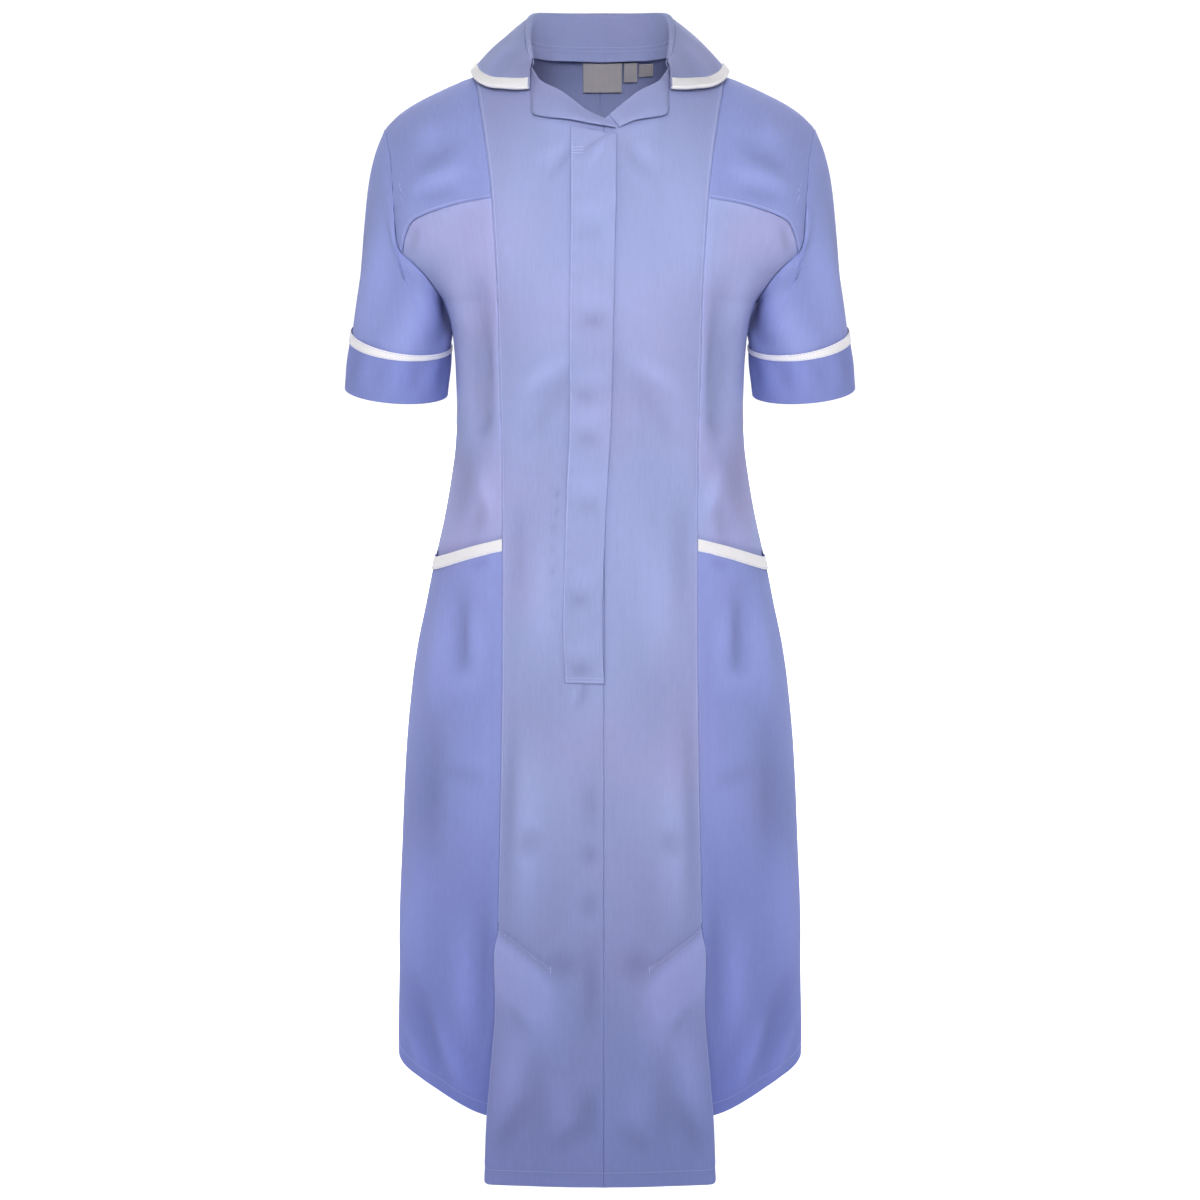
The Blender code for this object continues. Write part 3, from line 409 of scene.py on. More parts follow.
class Cloth:
    """A piece of cloth over a surface point(u, v), with its folds, its rolled edges and its flat size.
    rolls are the turn-ins at the left, right, bottom and top edges; folds is a height of the surface, and
    its shade gain how strongly its fold hollows are painted darker and its ridges paler, as painted shade and
    light."""

    def __init__(self, name, point, u, v, finish, facing=1, mirrored=False, start=0.0, thick=CLOTH,
                 rolls=(SEAM_ROLL,) * 4, folds=None, closed=False, fold_shade_gain=1.0):
        grid_u, grid_v = np.meshgrid(u, v)
        base = point(grid_u, grid_v)
        outward = outward_of(base, facing, closed)
        wide = np.concatenate([base, base[:, :1]], axis=1) if closed else base
        self.left, self.bottom = distances(wide, 1), distances(wide, 0)
        left, bottom = (self.left[:, :-1], self.bottom[:, :-1]) if closed else (self.left, self.bottom)
        edges = (left, self.left[:, -1:] - left, bottom, bottom[-1:] - bottom)
        roll = np.zeros_like(left)
        for distance, size in zip(edges, (0, 0, *rolls[2:]) if closed else rolls):
            roll = np.maximum(roll, turned_in(distance, size))
        self.height = np.zeros_like(left)
        if folds is not None:
            self.height = folds(base, grid_u, grid_v, edges)
            base = base + outward * self.height[..., None]
            outward = outward_of(base, facing, closed)
        lift = start(grid_u, grid_v, edges) if callable(start) else start
        inner = base + outward * (lift + thick * ROLL_UNDER * roll)[..., None]
        self.skin = base + outward * (lift + thick * (1 - ROLL_OVER * roll))[..., None]
        if mirrored:
            inner, self.skin = inner * (-1, 1, 1), self.skin * (-1, 1, 1)
        self.name, self.edges = name, edges
        self.height = self.height * fold_shade_gain
        cloths[name] = self
        self.object = self.made(inner, finish, (facing < 0) != mirrored, closed)

    def made(self, inner, finish, flipped, closed):
        rows, cols = self.skin.shape[:2]
        ids = np.arange(rows * cols).reshape(rows, cols)
        if closed:
            ids = np.concatenate([ids, ids[:, :1]], axis=1)
        flat = np.stack([self.left, self.bottom], axis=-1)
        over = ids + rows * cols

        def cells(grid):
            return grid[:-1, :-1], grid[:-1, 1:], grid[1:, 1:], grid[1:, :-1]

        def strip(first, second):
            return first[:-1], first[1:], second[1:], second[:-1]

        outer, under = cells(over), cells(ids)
        parts = [(outer, cells(flat)), (under[::-1], cells(flat)[::-1])]
        parts.append((strip(ids[0], over[0]), strip(flat[0], flat[0])))
        parts.append((strip(over[-1], ids[-1]), strip(flat[-1], flat[-1])))
        if not closed:
            parts.append((strip(over[:, 0], ids[:, 0]), strip(flat[:, 0], flat[:, 0])))
            parts.append((strip(ids[:, -1], over[:, -1]), strip(flat[:, -1], flat[:, -1])))
        faces = np.concatenate([np.stack(corner, axis=-1).reshape(-1, 4) for corner, _ in parts])
        places = np.concatenate([np.stack(corner, axis=-2).reshape(-1, 4, 2) for _, corner in parts])
        if flipped:
            faces, places = faces[:, ::-1], places[:, ::-1]
        mesh = bpy.data.meshes.new(self.name)
        mesh.from_pydata(np.concatenate([inner.reshape(-1, 3), self.skin.reshape(-1, 3)]), [], faces.tolist())
        mesh.uv_layers.new(name="cloth").data.foreach_set("uv", places.reshape(-1))
        # The fold heights, scaled by the shade gain, are kept for the twill's painted shade in hollows and
        # painted light on ridges.
        heights = np.tile(self.height.reshape(-1), 2).astype(np.float32)
        mesh.attributes.new("fold", "FLOAT", "POINT").data.foreach_set("value", heights)
        mesh.polygons.foreach_set("use_smooth", [True] * len(mesh.polygons))
        mesh.materials.append(finish)
        whole = np.concatenate([self.skin, self.skin[:, :1]], axis=1) if closed else self.skin
        crossed = np.cross(whole[1:, 1:] - whole[:-1, :-1], whole[1:, :-1] - whole[:-1, 1:])
        self.area = float(np.linalg.norm(crossed, axis=-1).sum() / 2)
        made = bpy.data.objects.new(self.name + "_sewn", mesh)
        bpy.context.scene.collection.objects.link(made)
        return made

    def sewn(self, slot, held="hung", turnings=(0.014, 0.014), parts=()):
        """Hangs the piece from the root and hides the imported parts it stands for, its parts or else itself.
        Its flat cut with its turnings is not used.
        """
        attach(self.object, "root")
        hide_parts(*([f"{self.name}_{part}" for part in parts] or [self.name]))

    def line(self, edge, inset, start=0.0, finish=1.0):
        """Points on the cloth's face at an inset from one edge: 0 left, 1 right, 2 bottom, 3 top."""
        axis = 1 if edge < 2 else 0
        distance = self.edges[edge]
        skin = self.skin if axis == 1 else self.skin.swapaxes(0, 1)
        distance = distance if axis == 1 else distance.T
        if edge in (1, 3):
            skin, distance = skin[:, ::-1], distance[:, ::-1]
        first, last = int(start * (len(skin) - 1)), int(math.ceil(finish * (len(skin) - 1)))
        picked = []
        for row, away in zip(skin[first:last + 1], distance[first:last + 1]):
            picked.append([np.interp(inset, away, row[:, k]) for k in range(3)])
        return np.array(picked)


def creases(strokes, x, z):
    """Soft troughs (negative) and ridges along straight strokes, seen from the front."""
    height = np.zeros(np.broadcast_shapes(np.shape(x), np.shape(z)))
    for x0, z0, x1, z1, width, rise in zip(*strokes.values()):
        length = math.hypot(x1 - x0, z1 - z0)
        along = ((x - x0) * (x1 - x0) + (z - z0) * (z1 - z0)) / length**2
        off = ((x - x0) * (z1 - z0) - (z - z0) * (x1 - x0)) / length
        fade = np.sin(np.pi * np.clip(along * 0.92 + 0.04, 0, 1)) ** 1.3
        height = height + rise * fade * np.exp(-((off / width) ** 2))
    return height


def wavering(x, z, size, phase):
    """The slight unevenness of hanging cloth, as a few crossing waves."""
    waves = np.sin(x * 41 + z * 9 + phase) + np.sin(x * 23 - z * 27 + 2.1 * phase)
    return size * (waves + np.sin(x * 67 + z * 31 + 0.7 * phase)) / 3


def pucker(distance, along, size=0.00016, reach=0.007, pitch=0.012):
    """The small ripples that a seam draws into the cloth beside it."""
    return size * np.exp(-distance / reach) * np.sin(2 * np.pi * along / pitch + 2 * np.sin(along * 31))


BACK_FOLDS = {
    "x0": (0.120, 0.060, 0.135, 0.030, 0.095, 0.150, 0.050, 0.110, 0.165, 0.020),
    "z0": (-0.300, -0.335, -0.240, -0.350, -0.420, -0.560, -0.520, -0.640, -0.700, -0.100),
    "x1": (0.030, 0.015, 0.070, 0.110, 0.120, 0.170, 0.070, 0.120, 0.180, 0.130),
    "z1": (-0.345, -0.320, -0.330, -0.395, -0.600, -0.900, -0.860, -0.980, -0.990, -0.085),
    "width": (0.012, 0.010, 0.014, 0.012, 0.016, 0.020, 0.022, 0.018, 0.014, 0.020),
    "rise": (-0.0024, 0.0016, -0.0020, -0.0022, 0.0022, -0.0030, 0.0032, -0.0026, 0.0022, -0.0016),
}


def back(u, v):
    """u from the centre back seam to the side seam and armhole, v from the hem to neck and shoulder."""
    share = np.sin(u * np.pi / 2) ** (2 / BODY["back_power"][0])
    top_x = ARMHOLE["out"][-1] * share
    top = np.where(top_x < NECK_HALF, neck_back(top_x), ridge(top_x))
    z = height_of(v, HEM, top)
    edge_z = height_of(v, HEM, SHOULDER)
    width = np.where(v > 0.7, armhole_out(edge_z), body["half_width"](edge_z))
    return on_body(width * share, lifted(width * share, z), "back")


def back_folds(points, u, v, edges):
    x, z = points[..., 0], points[..., 2]
    sides = pucker(edges[0], z) + pucker(edges[1], z + 0.3)
    hem = -0.0006 * np.exp(-(((edges[2] - HEM_CREASE) / 0.0025) ** 2))
    calm = smoothstep(edges[0] / 0.02) * smoothstep(edges[1] / 0.02)
    return calm * (creases(BACK_FOLDS, x, z) + wavering(x, z, 0.0016, 1.3)) + sides + hem


# Copies of one cloth, painted lighter or deeper for how light falls on each panel: painted light on the side
# fronts, painted shade on the yokes, sleeves and skirt sides.
twill_blue = twill("blue twill")
twill_side = twill("blue twill, upper sides", warm=0.7, painted_light=1.10)
twill_outer = twill("blue twill, yokes and sleeves", painted_shade=0.35, warm=0.15)
twill_skirt = twill("blue twill, skirt sides", painted_shade=0.45, warm=0.3, painted_light=1.02)
neck_turn = np.arcsin((NECK_HALF / ARMHOLE["out"][-1]) ** (BODY["back_power"][0] / 2)) * 2 / np.pi
back_u = spread(0.27)
back_u = np.sort(np.append(back_u[np.abs(back_u - neck_turn) > 0.002], neck_turn))
back_v = spread(1.02)
back_v[-1] = 1 - TOP_GAP
for hand in ("left", "right"):
    piece = Cloth(f"back_{hand}", back, back_u, back_v, twill_blue, -1, hand == "right",
                  rolls=(SEAM_ROLL, SEAM_ROLL, EDGE_ROLL, SEAM_ROLL), folds=back_folds)
    piece.sewn("cloth", turnings=(0.02, 0.04), parts=("skirt", "waist", "shoulder"))

# ------------------------------------------------------------------------------------------ centre fronts
# Two long panels from the neck and shoulders to a dropped hem, sewn to the side fronts by princess seams.
# Over each kick pleat is a slanting seam. Below it the panel's edge is folded and hangs free.

CENTRE = 0.0035
PLEAT_TOP = -0.809
SWING_DEPTH = 0.1650
SWING_CURVE = 0.5
CORNER = 0.005
HEM_TURN = 0.0145
SLANT_TOP = -0.797  # where the slanting seam over a pleat starts, at the princess seam
SLANT_DROP, SLANT_RUN = 0.034, 0.050
PLEAT_STEP = 0.0075  # how far the cloth below the slanting seam stands out
PLEAT_RAMP = 0.022  # how far below the seam it takes to stand out
PLEAT_FALL = (0.015, 0.075)  # from here down it comes back, over this far
PLEAT_REACH = (0.066, 0.034)  # how far in from the edge the step ends, and over how far it fades
PLEAT_GROOVE, GROOVE_WIDTH = 0.0022, 0.003
PRINCESS = {
    "height": (-1.040, -0.990, -0.940, -0.880, -0.809, -0.730, -0.630, -0.525, -0.434, -0.348, -0.303, -0.214,
               -0.1262, -0.085, -0.036, -0.0158),
    "out": (0.1100, 0.1085, 0.1045, 0.0995, 0.0965, 0.0940, 0.0915, 0.0895, 0.0892, 0.0895, 0.0905, 0.0905,
            0.0945, 0.0995, 0.1085, 0.1135),
}
NECK_FRONT = {
    "out": (0.000, 0.0185, 0.036, 0.054, 0.061, 0.067),
    "height": (-0.0625, -0.0480, -0.0350, -0.0245, -0.0110, 0.0030),
}
SWING = {"height": (-1.040, -0.990, -0.940, -0.880, -0.809), "share": (1.00, 0.86, 0.58, 0.22, 0.00)}
FRONT_FOLDS = {
    "x0": (0.016, 0.022, 0.020, 0.026, 0.060, 0.078, 0.066, 0.062, 0.082, 0.022, 0.078, 0.060, 0.070,
           0.040, 0.012, 0.085, 0.090),
    "z0": (-0.076, -0.078, -0.258, -0.280, -0.420, -0.380, -0.590, -0.692, -0.560, -0.840, -0.890, -0.900,
           -0.950, -0.930, -0.976, -0.850, -0.868),
    "x1": (0.048, 0.064, 0.082, 0.072, 0.050, 0.074, 0.072, 0.070, 0.088, 0.050, 0.092, 0.064, 0.100,
           0.030, 0.048, 0.060, 0.066),
    "z1": (-0.114, -0.098, -0.304, -0.345, -0.560, -0.500, -0.815, -0.726, -0.800, -0.815, -0.985, -1.005,
           -1.015, -1.000, -1.004, -0.880, -0.900),
    "width": (0.004, 0.005, 0.008, 0.010, 0.018, 0.010, 0.015, 0.010, 0.007, 0.016, 0.012, 0.014, 0.010,
              0.014, 0.009, 0.005, 0.006),
    "rise": (-0.0022, 0.0014, 0.0024, -0.0020, 0.0018, -0.0020, 0.0036, -0.0040, -0.0022, -0.0034, 0.0028,
             -0.0022, -0.0032, 0.0020, -0.0026, 0.0014, -0.0016),
}
RIGHT_FOLDS = {
    "x0": (0.010, 0.010, 0.010, 0.010, 0.010, 0.012, 0.022, 0.036, 0.037, 0.038, 0.039, 0.040, 0.039, 0.039),
    "z0": (-0.645, -0.706, -0.750, -0.790, -0.940, -0.555, -0.562, -0.385, -0.401, -0.418, -0.437, -0.456,
           -0.475, -0.494),
    "x1": (0.009, 0.010, 0.011, 0.010, 0.014, 0.020, 0.026, 0.043, 0.043, 0.046, 0.044, 0.047, 0.044, 0.044),
    "z1": (-0.700, -0.732, -0.784, -0.900, -1.000, -0.585, -0.580, -0.388, -0.402, -0.421, -0.438, -0.458,
           -0.477, -0.497),
    "width": (0.007, 0.008, 0.008, 0.008, 0.012, 0.005, 0.003, 0.004, 0.004, 0.004, 0.004, 0.004, 0.004,
              0.004),
    "rise": (-0.0022, -0.0030, -0.0026, -0.0026, -0.0034, -0.0030, 0.0020, -0.0030, -0.0026, -0.0030,
             -0.0024, -0.0030, -0.0026, -0.0020),
}
princess = columns(PRINCESS, "height")["out"]
neck_front = columns(NECK_FRONT, "out")["height"]
swing = columns(SWING, "height")["share"]


def front_depth(x, z):
    """The centre front: on the body down to the pleats, then swinging forward and nearly flat."""
    near = depth(x, z, "front")
    return near + swing(z) * (SWING_DEPTH - SWING_CURVE * x**2 - near)


def centre_front(start):
    """u runs from the centre line, at x = start, to the princess seam, v from the hem to the top."""

    def point(u, v):
        top_x = start + (PRINCESS["out"][-1] - start) * u
        top = np.where(top_x < NECK_HALF, neck_front(np.abs(top_x)), ridge(top_x))
        hem_x = start + (PRINCESS["out"][0] - start) * u
        corner = np.clip(hem_x - (PRINCESS["out"][0] - CORNER), 0, CORNER)
        hem = FRONT_HEM + CORNER - np.sqrt(CORNER**2 - corner**2)
        z = height_of(v, hem, top)
        x = start + (princess(z) - start) * u
        return np.stack(np.broadcast_arrays(x, -front_depth(x, z), z), axis=-1)

    return point


def pleat_step(x, z):
    """The cloth stands out below the slanting seam, which lies in a narrow groove."""
    inward = princess(z) - x
    below = SLANT_TOP - SLANT_DROP * np.clip(inward / SLANT_RUN, 0, 1.2) - z
    fallen = 1 - smoothstep((below - PLEAT_FALL[0]) / PLEAT_FALL[1])
    step = PLEAT_STEP * smoothstep(below / PLEAT_RAMP) * fallen
    groove = np.exp(-((below / GROOVE_WIDTH) ** 2)) * smoothstep((SLANT_RUN - inward) / 0.006)
    return step * smoothstep((PLEAT_REACH[0] - inward) / PLEAT_REACH[1]) - PLEAT_GROOVE * groove


def front_folds(*tables):
    """A front's creases, from one or more tables, with its puckered seam, turned-up hem and pleat step."""

    def folds(points, u, v, edges):
        x, z = points[..., 0], points[..., 2]
        drawn = sum(creases(table, x, z) for table in tables)
        seam = np.where(z > PLEAT_TOP, pucker(edges[1], z, 0.00012), 0)
        crease = np.exp(-(((edges[2] - HEM_TURN) / 0.0018) ** 2))
        hem = 0.0004 * smoothstep((HEM_TURN - edges[2]) / 0.004) - 0.0005 * crease
        calm = smoothstep(edges[0] / 0.006) * smoothstep(edges[1] / 0.010)
        return calm * (drawn + wavering(x, z, 0.0012, 0.4)) + seam + hem + pleat_step(x, z)

    return folds


front_v = spread(1.06)
front_v[-1] = 1 - TOP_GAP
for hand, centre_line, tables in (("left", CENTRE, (FRONT_FOLDS,)),
                                  ("right", -CENTRE, (FRONT_FOLDS, RIGHT_FOLDS))):
    front_u = spread(0.105)
    neck_u = (NECK_HALF - centre_line) / (PRINCESS["out"][-1] - centre_line)
    front_u = np.sort(np.append(front_u[np.abs(front_u - neck_u) > 0.012], neck_u))
    piece = Cloth(f"front_{hand}", centre_front(centre_line), front_u, front_v, twill_blue, 1,
                  hand == "right", rolls=(SEAM_ROLL, SEAM_ROLL, EDGE_ROLL, EDGE_ROLL),
                  folds=front_folds(*tables))
    piece.sewn("cloth", turnings=(0.02, 0.04), parts=("skirt", "bodice"))

# ------------------------------------------------------------------------------------------ side fronts
# A yoke from the shoulder to the bust seam, and a side front from there down behind the pocket's mouth.
# The bust seam curves out from the princess seam and drops steeply into the armhole.

POCKET_TUCK = 0.0028  # how far behind the skirt side the side front lies below the pocket's mouth
TUCK_INSET = 0.002
POCKET_FOOT = -0.525
POCKET_BOW = 0.0045
BUST_RISE = 0.3525
BUST = {
    "along": (0.00, 0.26, 0.52, 0.70, 0.82, 0.91, 1.00),
    "out": (0.0945, 0.1190, 0.1430, 0.1585, 0.1680, 0.1740, 0.1796),
    "height": (-0.1262, -0.1300, -0.1360, -0.1412, -0.1465, -0.1570, -0.1740),
}
POCKET_MOUTH = {"out": (0.0892, 0.1596), "height": (-0.430, -0.467)}
SIDE_FOLDS = {
    "x0": (0.108, 0.118, 0.135, 0.098, 0.112, 0.122, 0.106, 0.100, 0.172, 0.170, 0.168, 0.160, 0.165),
    "z0": (-0.185, -0.240, -0.180, -0.318, -0.365, -0.345, -0.395, -0.440, -0.105, -0.118, -0.126, -0.148,
           -0.080),
    "x1": (0.104, 0.108, 0.120, 0.118, 0.098, 0.134, 0.120, 0.126, 0.118, 0.112, 0.120, 0.174, 0.140),
    "z1": (-0.345, -0.360, -0.250, -0.336, -0.412, -0.430, -0.440, -0.446, -0.074, -0.098, -0.118, -0.178,
           -0.058),
    "width": (0.011, 0.007, 0.012, 0.006, 0.007, 0.010, 0.008, 0.005, 0.009, 0.008, 0.007, 0.005, 0.009),
    "rise": (-0.0050, -0.0024, 0.0024, -0.0022, 0.0026, -0.0026, -0.0024, -0.0018, -0.0026, 0.0026,
             -0.0024, -0.0030, 0.0020),
}
bust = columns(BUST, "along")


def yoke(u, v):
    """The yoke: u from the princess seam to the armhole, v from bust seam to shoulder, stretched
    between its four edges in x and in the share of the height to the shoulder line."""
    rise = arm_rise(BUST_RISE + (1 - BUST_RISE) * v)
    right_z = UNDERARM + (SHOULDER - UNDERARM) * rise
    low_z = BUST["height"][0]
    share = (rise - arm_rise(BUST_RISE)) / (1 - arm_rise(BUST_RISE))
    top_left = PRINCESS["out"][-1]
    left_z = low_z + (ridge(top_left) - low_z) * share

    def climb(x, z):
        return (z - CHEST) / (ridge(x) - CHEST)

    def stretched(low, high, left, right):
        side_left = left - ((1 - share) * low(np.float64(0)) + share * high(np.float64(0)))
        side_right = right - ((1 - share) * low(np.float64(1)) + share * high(np.float64(1)))
        return (1 - share) * low(u) + share * high(u) + (1 - u) * side_left + u * side_right

    def shoulder_x(s):
        return top_left + (ARMHOLE["out"][-1] - top_left) * s

    left_x, right_x = princess(left_z), armhole_out(right_z)
    x = stretched(bust["out"], shoulder_x, left_x, right_x)
    climbed = stretched(lambda s: climb(bust["out"](s), bust["height"](s)), lambda s: 1 + 0 * s,
                        climb(left_x, left_z), climb(right_x, right_z))
    return on_body(x, CHEST + climbed * (ridge(x) - CHEST), "front")


def side_edge(z):
    """The side pieces' front edge: the princess seam, which runs straight down behind the pleat."""
    return np.where(z > PLEAT_TOP, princess(z), princess(PLEAT_TOP))


def mouth_height(x):
    """The slanting line of the pocket's mouth."""
    out, height = POCKET_MOUTH["out"], POCKET_MOUTH["height"]
    share = (x - out[0]) / (out[1] - out[0])
    return height[0] + (height[1] - height[0]) * share + POCKET_BOW * np.sin(np.pi * np.clip(share, 0, 1))


def moved_out(points, distance):
    """The same points, moved level and away from the body's middle."""
    return points * (1 + distance / np.hypot(points[..., 0], points[..., 1]))[..., None] ** (1, 1, 0)


def side_front(u, v):
    """u from the princess seam to the side, v from the pocket's foot to the bust seam."""
    level = POCKET_FOOT + (UNDERARM - POCKET_FOOT) * np.clip(v / 0.7, 0, 1)
    high = np.clip((v - 0.7) / 0.3, 0, 1) * BUST_RISE
    right_z = level + (SHOULDER - UNDERARM) * arm_rise(high)
    tilt = arm_rise(high) / arm_rise(BUST_RISE)
    z = level * (1 - tilt) + bust["height"](u) * tilt
    tucked = smoothstep((POCKET_MOUTH["height"][0] + 0.010 - level) / 0.012)
    left = side_edge(z) + TUCK_INSET * tucked
    turn = turn_of(left, level, "front")
    level_share = (across(level, turn + (1 - turn) * u, "front") - left) / (body["half_width"](level) - left)
    bust_share = (bust["out"](u) - bust["out"](0)) / (bust["out"](1) - bust["out"](0))
    share = level_share * (1 - tilt) + bust_share * tilt
    right = np.where(high > 0, armhole_out(right_z), body["half_width"](level))
    x = left + (right - left) * share
    slant = smoothstep(1.5 - np.abs(level - POCKET_MOUTH["height"][0]) / 0.08)
    moved = z + (mouth_height(x) - POCKET_MOUTH["height"][0]) * slant
    x = np.where(slant > 0, x * body["half_width"](moved) / body["half_width"](z), x)
    points = on_body(x, moved, "front")
    return moved_out(points, -POCKET_TUCK * tucked)


def side_folds(points, u, v, edges):
    x, z = points[..., 0], points[..., 2]
    calm = smoothstep(edges[0] / 0.012) * smoothstep(edges[1] / 0.012) * smoothstep(edges[3] / 0.010)
    seams = pucker(edges[0], z, 0.00012) + pucker(edges[3], x, 0.00012)
    return calm * (creases(SIDE_FOLDS, x, z) + wavering(x, z, 0.0012, 2.2)) + seams


for hand in ("left", "right"):
    for name, surface, wide, high, finish in (("yoke", yoke, 0.10, 0.14, twill_outer),
                                              ("side_front", side_front, 0.14, 0.38, twill_side)):
        piece = Cloth(f"{name}_{hand}", surface, spread(wide), spread(high), finish, 1, hand == "right",
                      folds=side_folds)
        piece.sewn("cloth")

# ------------------------------------------------------------------------------------------ skirt sides
# The side panels of the skirt, from the pocket's slanting mouth to the hem, over the side front above.
# The mouth stands slightly open, and is bound with white tape.

TAPE_RIB, TAPE_WEFT = 0.0007, 0.0005
MOUTH_GAPE = 0.0025
MOUTH_TAPE = 0.0195  # the share of the skirt side that the tape covers
MOUTH_PAST = 0.0010  # and by how much its folded edge stands past the mouth

def skirt_side(u, v):
    """u from the princess seam to the side seam, v from the hem to the pocket's mouth."""
    level = HEM + (POCKET_MOUTH["height"][0] - HEM) * v
    turn = turn_of(side_edge(level), level, "front")
    x = across(level, turn + (1 - turn) * u, "front")
    z = lifted(x, level + (mouth_height(x) - POCKET_MOUTH["height"][0]) * smoothstep(v * 3 - 2))
    turn = turn_of(side_edge(z), z, "front")
    x = across(z, turn + (1 - turn) * u, "front")
    points = on_body(x, z, "front")
    stand_off = MOUTH_GAPE * np.sin(np.pi * u) * smoothstep(v * 4 - 2.6)
    return moved_out(points, stand_off)


SKIRT_FOLDS = {
    "x0": (0.100, 0.128, 0.143, 0.116, 0.104, 0.100, 0.155, 0.170, 0.108, 0.130, 0.186, 0.160, 0.196),
    "z0": (-0.448, -0.468, -0.478, -0.490, -0.560, -0.655, -0.580, -0.700, -0.760, -0.780, -0.865, -0.900,
           -0.925),
    "x1": (0.122, 0.130, 0.158, 0.112, 0.150, 0.150, 0.165, 0.186, 0.112, 0.126, 0.150, 0.130, 0.166),
    "z1": (-0.459, -0.575, -0.600, -0.560, -0.566, -0.652, -0.760, -0.900, -0.930, -0.930, -0.980, -0.985,
           -0.985),
    "width": (0.005, 0.008, 0.010, 0.009, 0.012, 0.009, 0.014, 0.014, 0.010, 0.013, 0.012, 0.010, 0.008),
    "rise": (-0.0024, -0.0036, 0.0028, 0.0024, 0.0026, -0.0020, -0.0030, 0.0026, -0.0034, 0.0030, -0.0030,
             0.0034, 0.0026),
}


def skirt_folds(points, u, v, edges):
    x, z = points[..., 0], points[..., 2]
    calm = smoothstep(edges[0] / 0.015) * smoothstep(edges[1] / 0.015) * smoothstep(edges[3] / 0.010)
    seams = np.where(z > PLEAT_TOP, pucker(edges[0], z, 0.00012), 0)
    return calm * (creases(SKIRT_FOLDS, x, z) + wavering(x, z, 0.0013, 3.1)) + seams


def pocket_band(u, v):
    """The tape on the mouth, on the skirt side's own points."""
    return skirt_side(u, 1 + MOUTH_PAST - MOUTH_TAPE * (1 - v))


def white_tape(name):
    """Bright white woven tape with fine ribs across it, slightly grey in the hollows."""
    finish = Finish(name, Roughness=0.72, Sheen_Weight=0.1, Specular_IOR_Level=0.3)
    flat, cross, along = finish.threads()
    rib, weft = finish.waves(cross, TAPE_RIB), finish.waves(along, TAPE_WEFT)
    cloudy = finish.noise(flat, 1.0, (160.0, 160.0, 1.0), 3.0)
    colour = finish.blend(0.2 * rib + 0.4 * cloudy, (0.99, 0.975, 0.99, 1.0), (0.92, 0.90, 0.95, 1.0))
    finish.join(colour, finish.shader.inputs["Base Color"])
    finish.join(finish.bump(rib * weft + cloudy, 0.00010), finish.shader.inputs["Normal"])
    return finish.material


white = white_tape("white binding")
ON_TOP = CLOTH + 0.0003
MOUTH_TAPE_START = 0.0011
TAPE = 0.0009
for hand in ("left", "right"):
    mirrored = hand == "right"
    piece = Cloth(f"skirt_side_{hand}", skirt_side, spread(0.16), spread(0.56), twill_skirt, 1,
                  mirrored, rolls=(SEAM_ROLL, SEAM_ROLL, EDGE_ROLL, EDGE_ROLL), folds=skirt_folds)
    piece.sewn("cloth", turnings=(0.02, 0.05))
    piece = Cloth(f"pocket_binding_{hand}", pocket_band, spread(0.10, 0.003), spread(0.0115, 0.0015), white,
                  1, mirrored, start=MOUTH_TAPE_START, thick=TAPE, rolls=(EDGE_ROLL,) * 4)
    piece.sewn("binding", held="stretched", turnings=(0.004, 0.002))

# ------------------------------------------------------------------------------------------ pleat underlays
# A strip of the same twill behind each kick pleat, from the side panel in to a fold and out again to
# the centre front's edge.

GATHER_IN = 0.046  # how far in the underlay's fold lies
GATHER_DROP = 0.035  # how much lower its top is there
BEHIND_EDGE, BESIDE_EDGE = 0.0045, 0.0025

def pleat_underlay(u, v):
    """u runs from the side panel in to the fold and out to the front's edge, v from hem to pleat top."""
    gather = np.sin(np.pi * u)
    low = HEM + 0.001 + (FRONT_HEM - HEM + 0.006) * smoothstep(u * 1.4 - 0.4)
    high = PLEAT_TOP - 0.002 - GATHER_DROP * gather
    z = low + (high - low) * v
    near, far = side_edge(z) - 0.001, princess(z) - 0.004
    x = near + (far - near) * u - GATHER_IN * gather
    behind = front_depth(far, z) - BEHIND_EDGE
    beside = np.minimum(depth(near, z, "front"), front_depth(near, z) - BESIDE_EDGE)
    return np.stack(np.broadcast_arrays(x, -(beside + (behind - beside) * smoothstep(u)), z), axis=-1)


for hand in ("left", "right"):
    piece = Cloth(f"pleat_underlay_{hand}", pleat_underlay, spread(0.11), spread(0.2), twill_blue, 1,
                  hand == "right", rolls=(EDGE_ROLL,) * 4)
    piece.sewn("cloth", held="folded", turnings=(0.01, 0.01))

# ------------------------------------------------------------------------------------------ placket
# The strip that hides the fasteners: the wearer's right front laps over the left one. It is stitched
# down its inner side and across its foot, and small dents show where each hidden fastener sits.

PLACKET = {
    "height": (-0.558, -0.502, -0.449, -0.379, -0.325, -0.246, -0.173, -0.123, -0.065),
    "edge": (0.0040, 0.0020, 0.0035, 0.0068, 0.0098, 0.0115, 0.0130, 0.0140, 0.0145),
    "width": (0.0360, 0.0360, 0.0360, 0.0370, 0.0375, 0.0385, 0.0390, 0.0395, 0.0400),
}
PLACKET_TOP = (-0.0660, -0.0735)
FASTENERS = {
    "height": (-0.157, -0.232, -0.300, -0.338, -0.398, -0.482, -0.545),
    "dent": (0.0006, 0.0015, 0.0010, 0.0013, 0.0010, 0.0013, 0.0016),
}
PLACKET_DRAG = {"x0": (0.012, 0.006), "z0": (-0.070, -0.074), "x1": (-0.022, -0.012), "z1": (-0.092, -0.105),
                "width": (0.0025, 0.003), "rise": (-0.0014, 0.0008)}
PLACKET_LIFT = 0.0016  # how far the strip stands off along its stitched edge
PLACKET_SPRING = 0.0014  # and how much more at this distance from it
PLACKET_SETTLE = 0.030
placket = columns(PLACKET, "height")


